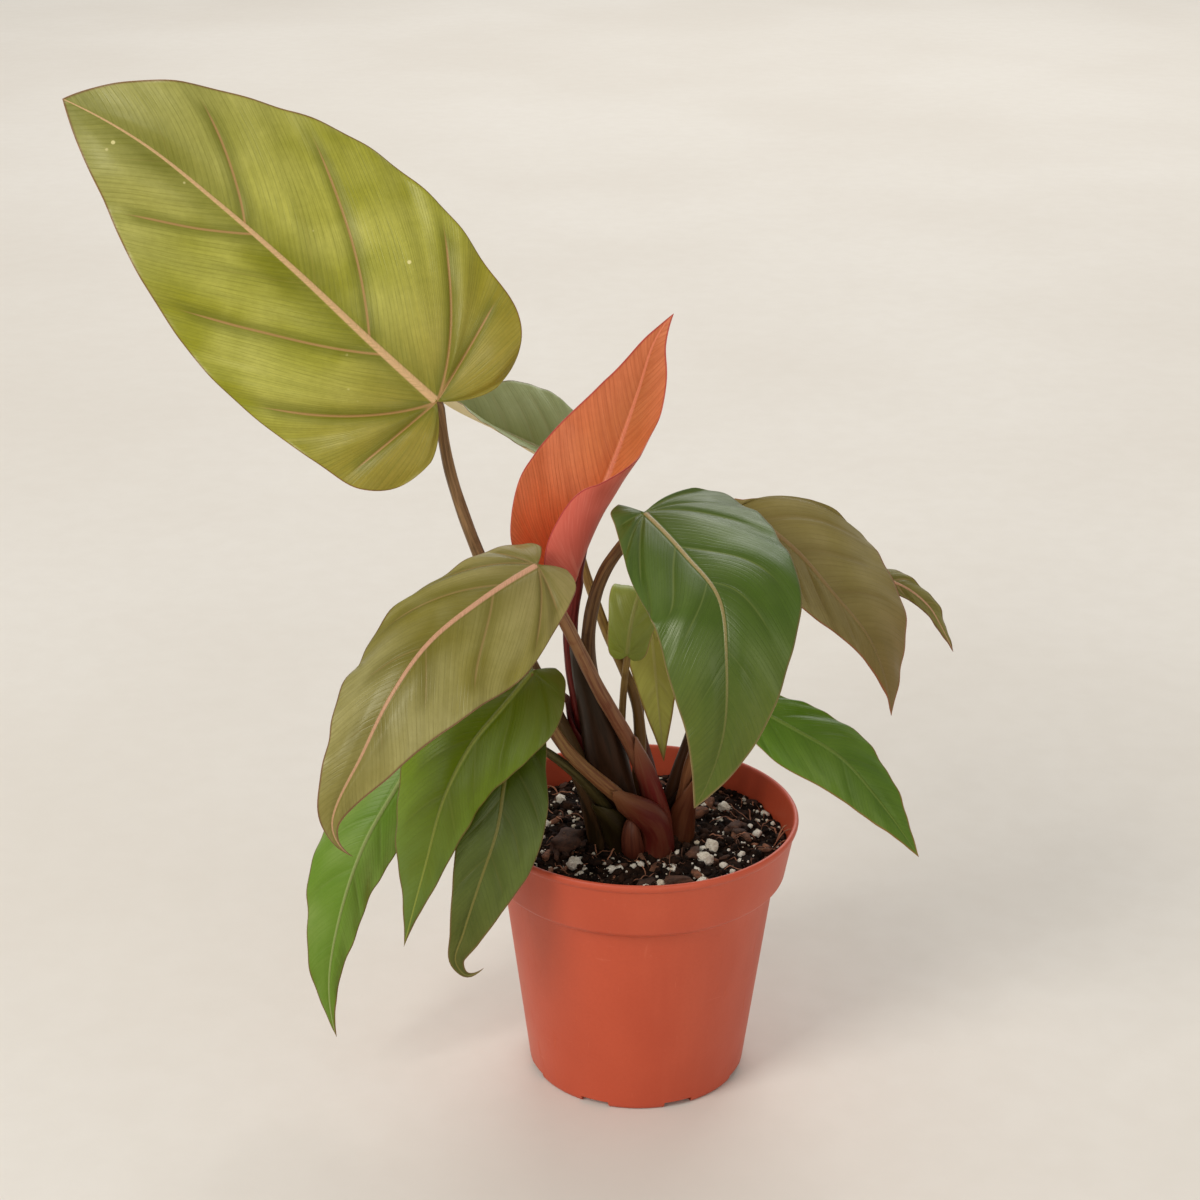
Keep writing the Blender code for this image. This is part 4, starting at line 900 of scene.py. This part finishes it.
for k in range(DRAINS):
    a = math.radians(-90 + 22 + 360 * k / DRAINS)
    d = np.array((math.cos(a), math.sin(a), 0.0))
    sd = np.array((-d[1], d[0], 0.0))
    ring = []
    for (x, z) in ((35.0, -1.0), (46.0, -1.0), (46.0, 2.2), (35.0, 2.2)):
        ring.append([cut.verts.new(tuple((d * x + sd * w + np.array((0, 0, z))) * MM)) for w in (-5.5, 5.5)])
    for i in range(4):
        A, B = ring[i], ring[(i + 1) % 4]
        cut.faces.new((A[0], A[1], B[1], B[0]))
    cut.faces.new([r[0] for r in ring])
    cut.faces.new([r[1] for r in ring][::-1])
    c = d * 28.5
    lo, hi = [], []
    for i in range(16):                                  # a slot with round ends
        t = 2 * math.pi * i / 16
        p = c + d * (1.9 * math.cos(t) + (3.1 if math.cos(t) > 0 else -3.1)) + sd * (1.9 * math.sin(t))
        lo.append(cut.verts.new(tuple((p + np.array((0, 0, 1.5))) * MM)))
        hi.append(cut.verts.new(tuple((p + np.array((0, 0, 4.7))) * MM)))
    for i in range(16):
        j = (i + 1) % 16
        cut.faces.new((lo[i], lo[j], hi[j], hi[i]))
    cut.faces.new(lo[::-1])
    cut.faces.new(hi)
bmesh.ops.recalc_face_normals(cut, faces=cut.faces)
cme = bpy.data.meshes.new("drain_cut")
cut.to_mesh(cme)
cut.free()
cutter = bpy.data.objects.new("drain_cut", cme)
COL.objects.link(cutter)
bo = pot.modifiers.new("drains", "BOOLEAN")
bo.operation, bo.object, bo.solver = "DIFFERENCE", cutter, "EXACT"
dg = bpy.context.evaluated_depsgraph_get()
cutmesh = bpy.data.meshes.new_from_object(pot.evaluated_get(dg), depsgraph=dg)
pot.modifiers.clear()
pot.data = cutmesh
cutmesh.shade_smooth()
cutmesh.set_sharp_from_angle(angle=math.radians(42))
bpy.data.objects.remove(cutter, do_unlink=True)
place(pot, "pot_plastic", "nursery_pot")


# ================================================================ soil
def soil_height(x, y):
    r = math.hypot(x, y)
    h = SOIL_Z + 1.1 * math.exp(-(r / 30.0) ** 2) - 0.9 * (r / 55.0) ** 4
    h += 0.55 * math.sin(x * 0.33 + 1.3) * math.cos(y * 0.29 - 0.4)
    h += 0.45 * math.sin(x * 0.71 - y * 0.53 + 2.1)
    h += 0.30 * math.cos(x * 1.13 + y * 0.97)
    return h


def rough_height(x, y):
    """The soil's lumpy surface with its crumbs."""
    h = soil_height(x, y)
    p = Vector((x * .16, y * .16, 3.1))
    h += 1.0 * noise.noise(p) + .75 * noise.noise(p * 2.7) + .55 * noise.noise(p * 6.5) + .32 * noise.noise(p * 13.0)
    return h


def soil_mat():
    m = Mat("soil_skin", IOR=1.4, Specular_IOR_Level=.16)
    o = m.obj((1, 1, 1))
    n1 = m.noise(o, 240.0, 4.0, .7)
    n2 = m.noise(o, 900.0, 3.0, .7)
    big = m.noise(o, 60.0, 3.0, .6)
    v = m.voronoi(o, 420.0)
    c = m.mix(m.ramp(n1, .3, .7), rgb(15, 9, 6), rgb(46, 29, 20))
    c = m.mix(m.ramp(big, .45, .7, 0.0, .5), c, rgb(66, 42, 28))
    c = m.mix(m.ramp(n2, .66, .76, 0.0, .6), c, rgb(104, 72, 52))
    c = m.mix(m.ramp(v, .08, .14, .8, 0.0), c, rgb(150, 130, 108))
    c = m.mix(m.ramp(v, .3, .6, .5, 0.0), c, rgb(12, 8, 6))
    nb = m.bump(m.math("ADD", n1, m.math("MULTIPLY", n2, .5)), .0012, .9)
    return m.finish(c, m.ramp(n1, .3, .7, .85, .97), nb)


SOIL_M = soil_mat()
SOIL_TOP_R = 55.7
SEG = 260
sv, sf = [], []
side_prof = [(0, 1.5), (18.6, 1.5), (21.8, 4.5), (38.7, 4.5), (39.8, 5.8), (49.8, zb - 2.3), (52.5, zb + .3),
             (53.6, zb + 1.9), (54.4, SOIL_Z - 4.0)]
rings = []
sv.append((0, 0, 1.5))
rings.append([0] * SEG)
for r, z in side_prof[1:]:
    n0 = len(sv)
    for i in range(SEG):
        a = 2 * math.pi * i / SEG
        sv.append((r * math.cos(a), r * math.sin(a), z))
    rings.append(list(range(n0, n0 + SEG)))
NR = 62
for k in range(NR):
    r = SOIL_TOP_R * (1 - k / NR)
    n0 = len(sv)
    for i in range(SEG):
        a = 2 * math.pi * i / SEG
        x, y = r * math.cos(a), r * math.sin(a)
        sv.append((x, y, rough_height(x, y)))
    rings.append(list(range(n0, n0 + SEG)))
sv.append((0, 0, rough_height(0, 0)))
rings.append([len(sv) - 1] * SEG)
for A, B in zip(rings[:-1], rings[1:]):
    for i in range(SEG):
        j = (i + 1) % SEG
        f = []
        for v in (A[i], A[j], B[j], B[i]):
            if v not in f:
                f.append(v)
        if len(f) > 2:
            sf.append(f)
soil = make("soil_bed", sv, sf, [SOIL_M])
place(soil, "soil", "potting_soil")


def ico(sub):
    bm = bmesh.new()
    bmesh.ops.create_icosphere(bm, subdivisions=sub, radius=1.0)
    bm.verts.ensure_lookup_table()
    P = np.array([v.co for v in bm.verts])
    F = [[v.index for v in f.verts] for f in bm.faces]
    bm.free()
    return P, F


ICO = {k: ico(k) for k in (1, 2, 3)}


def turn(rng, flat=False):
    a = rng.uniform(0, 2 * math.pi)
    M = Matrix.Rotation(a, 3, "Z")
    if not flat:
        M = M @ Matrix.Rotation(rng.uniform(-.7, .7), 3, "X") @ Matrix.Rotation(rng.uniform(-.7, .7), 3, "Y")
    else:
        M = M @ Matrix.Rotation(rng.uniform(-.25, .25), 3, "X") @ Matrix.Rotation(rng.uniform(-.25, .25), 3, "Y")
    return np.array(M)


def lump(rng, sub, size, jag=.22, freq=2.2, boxy=0.0):
    P, F = ICO[sub]
    k = rng.uniform(0, 40, 3)
    out = []
    for p in P:
        v = Vector(p * freq + k)
        d = 1 + jag * noise.noise(v) * 1.6 + jag * .6 * noise.noise(v * 2.3)
        q = np.sign(p) * np.abs(p) ** (1 - boxy) if boxy else p
        out.append(q * d * size)
    return np.array(out), F


class Heap:
    """Many small grains in one mesh."""

    def __init__(self):
        self.v, self.f, self.tone = [], [], []

    def add(self, P, F, tone):
        n = len(self.v)
        self.v.extend(P)
        self.f.extend([[n + i for i in f] for f in F])
        self.tone.extend([tone] * len(P))

    def make(self, name, mat, slot, *nodes):
        ob = make(name, self.v, self.f, [mat], None, {"tone": self.tone})
        return place(ob, slot, *nodes)


def spot(rng, rmax=54.8, rmin=0.0):
    r = math.sqrt(rng.uniform((rmin / rmax) ** 2, 1)) * rmax
    a = rng.uniform(0, 2 * math.pi)
    return r * math.cos(a), r * math.sin(a)


def perlite_mat():
    m = Mat("perlite_skin", IOR=1.4)
    o = m.obj((1, 1, 1))
    n = m.noise(o, 900.0, 4.0, .7)
    v = m.voronoi(o, 1100.0)
    c = m.mix(m.ramp(n, .3, .7), rgb(204, 194, 174), rgb(234, 228, 215))
    c = m.mix(m.ramp(v, .12, .3, .45, 0.0), c, rgb(120, 100, 80))
    c = m.mix(m.ramp(m.attr("tone"), 0.0, 1.0, 0.0, .45), c, rgb(186, 160, 120))
    return m.finish(c, m.ramp(n, .3, .7, .80, .95), m.bump(m.math("ADD", n, v), .0004, .8))


def bark_mat():
    m = Mat("bark_skin", IOR=1.4)
    n = m.noise(m.obj((300, 300, 900)), 1.0, 4.0, .7)
    n2 = m.noise(m.obj((1, 1, 1)), 700.0, 3.0, .7)
    t = m.attr("tone")
    c = m.mix(m.ramp(t, 0.0, 1.0), rgb(70, 46, 34), rgb(150, 96, 66))
    c = m.mix(m.ramp(n, .35, .65, 0.0, .75), c, rgb(40, 26, 20))
    c = m.mix(m.ramp(n2, .62, .78, 0.0, .5), c, rgb(160, 118, 88))
    return m.finish(c, m.ramp(n2, .3, .7, .78, .95), m.bump(m.math("ADD", n, m.math("MULTIPLY", n2, .4)), .0006, .8))


def fibre_mat():
    m = Mat("fibre_skin", IOR=1.4)
    n = m.noise(m.obj((1, 1, 1)), 500.0, 3.0, .6)
    c = m.mix(m.ramp(m.attr("tone"), 0.0, 1.0), rgb(96, 62, 44), rgb(176, 118, 88))
    c = m.mix(m.ramp(n, .4, .7, 0.0, .5), c, rgb(60, 36, 26))
    return m.finish(c, m.ramp(n, .3, .7, .75, .92), m.bump(n, .0003, .5))


rng = np.random.default_rng(20)
crumbs = Heap()
for k in range(1500):
    x, y = spot(rng)
    s = float(rng.gamma(2.2, .33)) + .28
    P, F = lump(rng, 1, np.array([s * rng.uniform(.8, 1.4), s, s * rng.uniform(.6, .95)]), .35)
    P = P @ turn(rng).T
    crumbs.add(P + np.array([x, y, rough_height(x, y) + s * rng.uniform(-.1, .45)]), F, float(rng.uniform()))
SOIL2 = soil_mat()
SOIL2.name = "soil_crumb_skin"
crumbs.make("soil_crumbs", SOIL2, "soil")

# perlite: the six big grains of the CAD model and many small ones
perl = Heap()
BIG = [(-24, -24, 3.2, .8), (24, -20, 3.5, .8), (27, -11, 2.6, .8), (33, 22, 2.5, .8), (-36, 8, 2.5, .8), (4, 42, 2.5, .8)]
for x, y, s, q in BIG:
    P, F = lump(rng, 3, np.array([s, s * .88, s * .8]), .26, 1.7)
    perl.add(P @ turn(rng).T + np.array([x, y, rough_height(x, y) + s * .35]), F, float(rng.uniform(0, .4)))
for k in range(620):
    x, y = spot(rng, 55.2)
    s = float(rng.gamma(1.6, .26)) + .24
    s = min(s, 2.3)
    P, F = lump(rng, 2 if s > .8 else 1, np.array([s * rng.uniform(.9, 1.25), s, s * rng.uniform(.7, 1)]), .30, 1.7)
    perl.add(P @ turn(rng).T + np.array([x, y, rough_height(x, y) + s * rng.uniform(.05, .5)]), F, float(rng.uniform() ** 2))
perl.make("perlite_grains", perlite_mat(), "perlite", *["perlite_%d" % i for i in range(1, 7)])

bark = Heap()
for x, y, size in ((-27, -8, (8.2, 5.6, 3.6)), (14, -36, (6.0, 3.0, 1.7)), (36, 8, (5.5, 2.6, 1.7))):
    P, F = lump(rng, 3, np.array(size), .30, 1.6, .18)
    bark.add(P @ turn(rng, True).T + np.array([x, y, rough_height(x, y) + size[2] * .45]), F, float(rng.uniform(.1, .4)))
for k in range(120):
    x, y = spot(rng)
    s = float(rng.gamma(2.2, .8)) + .9
    s = min(s, 5.0)
    size = np.array([s, s * rng.uniform(.25, .6), s * rng.uniform(.15, .35)])
    P, F = lump(rng, 2, size, .32, 1.7, .25)
    bark.add(P @ turn(rng, True).T + np.array([x, y, rough_height(x, y) + size[2] * .7]), F, float(rng.uniform() ** 1.5))
bark.make("bark_bits", bark_mat(), "bark", *["bark_chip_%d" % i for i in range(1, 4)])


def strand(heap, C, r, tone, sides=5):
    T = unit(np.gradient(C, axis=0))
    side = unit(np.cross(T[0], (0.31, 0.17, .93)))
    n = len(heap.v)
    P, F = [], []
    for i in range(len(C)):
        side = unit(side - T[i] * (side @ T[i]))
        nor = np.cross(side, T[i])
        rr = r * (1 - .75 * abs(2 * i / (len(C) - 1) - 1) ** 2.5)
        for j in range(sides):
            a = 2 * math.pi * j / sides
            P.append(C[i] + side * (rr * math.cos(a)) + nor * (rr * .55 * math.sin(a)))
    for i in range(len(C) - 1):
        for j in range(sides):
            k = (j + 1) % sides
            F.append([i * sides + j, i * sides + k, (i + 1) * sides + k, (i + 1) * sides + j])
    F.append(list(range(sides))[::-1])
    F.append([(len(C) - 1) * sides + j for j in range(sides)])
    heap.add(P, F, tone)


fib = Heap()
for k in range(150):
    x, y = spot(rng, 54.0)
    a = rng.uniform(0, 2 * math.pi)
    L = float(rng.uniform(4, 15))
    bend = rng.uniform(-.16, .16)
    pts, hz = [], rng.uniform(.2, 1.8)
    for i in range(12):
        t = i / 11
        if math.hypot(x, y) > 56.0:
            break
        pts.append((x, y, rough_height(x, y) + .35 + hz * math.sin(math.pi * t)))
        x += math.cos(a) * L / 11
        y += math.sin(a) * L / 11
        a += bend + rng.uniform(-.12, .12)
    if len(pts) > 5:
        strand(fib, smooth_curve(pts, 2), float(rng.uniform(.16, .42)), float(rng.uniform()))
# a dry sprig that leans on the rim
for x, y, dx, dy, dz in ((50, -9, 7.0, -2.5, 9.0), (51, -7, 4.5, 1.0, 8.0), (50, -11, 6.0, -5.0, 6.5)):
    pts = [(x + dx * t, y + dy * t, SOIL_Z + .5 + dz * math.sin(t * 1.7)) for t in np.linspace(0, 1, 10)]
    strand(fib, smooth_curve(pts, 2), .34, .8)
fib.make("soil_fibres", fibre_mat(), "bark")


# ================================================================ crown
def crown_mat():
    m = Mat("crown_skin", IOR=1.42)
    o = m.obj((1, 1, 1))
    n = m.noise(o, 180.0, 4.0, .65)
    n2 = m.noise(m.obj((900, 900, 180)), 1.0, 3.0, .65)
    c = m.mix(m.ramp(n, .3, .7), rgb(52, 26, 16), rgb(96, 50, 30))
    c = m.mix(m.ramp(n2, .45, .65, 0.0, .6), c, rgb(38, 20, 12))
    c = m.mix(m.ramp(n, .62, .8, 0.0, .5), c, rgb(142, 96, 62))
    return m.finish(c, m.ramp(n, .3, .7, .50, .72), m.bump(m.math("ADD", n, n2), .0008, .8))


cv, cf = [], []
NRC, SG = 26, 96
rings = []
for k in range(NRC + 1):
    u = k / NRC
    r = (CROWN_R + 1.6) * (1 - u)
    if k == NRC:
        cv.append((0, 0, CROWN_Z + .9))
        rings.append([len(cv) - 1] * SG)
        continue
    n0 = len(cv)
    for i in range(SG):
        a = 2 * math.pi * i / SG
        x, y = r * math.cos(a), r * math.sin(a)
        f = noise.noise(Vector((x * .22, y * .22, 9.0))) * 1.3 + noise.noise(Vector((x * .6, y * .6, 4.0))) * .7
        z = SOIL_Z - 2.5 + (CROWN_Z + 1.2 - SOIL_Z + 2.5) * step(1 - r / (CROWN_R + 1.6), 0.0, .55) + f * .8
        rr = r * (1 + .07 * math.sin(3 * a + 1) + .05 * math.sin(7 * a))
        cv.append((rr * math.cos(a), rr * math.sin(a), float(z)))
    rings.append(list(range(n0, n0 + SG)))
n0 = len(cv)
for i in range(SG):
    a = 2 * math.pi * i / SG
    cv.append(((CROWN_R - 1) * math.cos(a), (CROWN_R - 1) * math.sin(a), 84.0))
rings.insert(0, list(range(n0, n0 + SG)))
cv.append((0, 0, 70.0))
rings.insert(0, [len(cv) - 1] * SG)
for A, B in zip(rings[:-1], rings[1:]):
    for i in range(SG):
        j = (i + 1) % SG
        f = []
        for v in (A[i], A[j], B[j], B[i]):
            if v not in f:
                f.append(v)
        if len(f) > 2:
            cf.append(f)
place(make("crown_body", cv, cf, [crown_mat()]), "crown", "crown_stem")


# ================================================================ floor, light, camera
def floor_mat():
    m = Mat("floor_skin", IOR=1.4)
    n = m.noise(m.obj((1, 1, 1)), 3.0, 3.0, .5)
    n2 = m.noise(m.obj((1, 1, 1)), 60.0, 4.0, .6)
    c = m.mix(m.ramp(n, .3, .7), rgb(226, 220, 210), rgb(221, 214, 203))
    c = m.mix(m.ramp(n2, .3, .7, 0.0, .15), c, rgb(214, 206, 194))
    return m.finish(c, m.ramp(n2, .3, .7, .70, .80), m.bump(n2, .0002, .3))


floor = make("studio_floor", [(-6000, -6000, 0), (6000, -6000, 0), (6000, 6000, 0), (-6000, 6000, 0)], [(0, 1, 2, 3)],
             [floor_mat()], smooth=False, closed=False)
floor.location.z = -0.0002

world = bpy.data.worlds.new("studio")
bpy.context.scene.world = world
world.use_nodes = True
world.node_tree.nodes["Background"].inputs["Color"].default_value = (1.0, 0.985, 0.96, 1)
world.node_tree.nodes["Background"].inputs["Strength"].default_value = 0.50


def area(name, at, to, size, power, colour=(1, 1, 1)):
    d = bpy.data.lights.new(name, "AREA")
    d.shape, d.size, d.energy, d.color = "SQUARE", size, power, colour
    o = bpy.data.objects.new(name, d)
    COL.objects.link(o)
    o.location = at
    o.rotation_euler = (Vector(to) - Vector(at)).to_track_quat("-Z", "Y").to_euler()
    return o


area("key", (-2.4, -2.2, 2.6), (0, 0, .18), 1.6, 84, (1.0, .985, .965))
area("fill", (1.2, -3.0, 1.3), (0, 0, .15), 2.2, 20, (1.0, .985, .96))
area("sheen", (.4, 2.6, 2.3), (0, 0, .2), 2.4, 42, (1.0, 1.0, 1.0))

cam = bpy.data.cameras.new("camera")
cam.lens, cam.sensor_width, cam.sensor_fit = 75.0, 36.0, "HORIZONTAL"
cam.clip_start, cam.clip_end = 0.05, 50.0
co = bpy.data.objects.new("camera", cam)
COL.objects.link(co)
right, up, back = Vector((.99997801, .00247051, .00615489)), Vector((-.0066322, .37249372, .92801101)), Vector((0, -.92803142, .37250192))
R3 = Matrix((right, up, back)).transposed()
co.matrix_world = Matrix.Translation((-0.01527, -0.84315, 0.52841)) @ R3.to_4x4()
bpy.context.scene.camera = co
bpy.context.scene.view_settings.view_transform = "Standard"
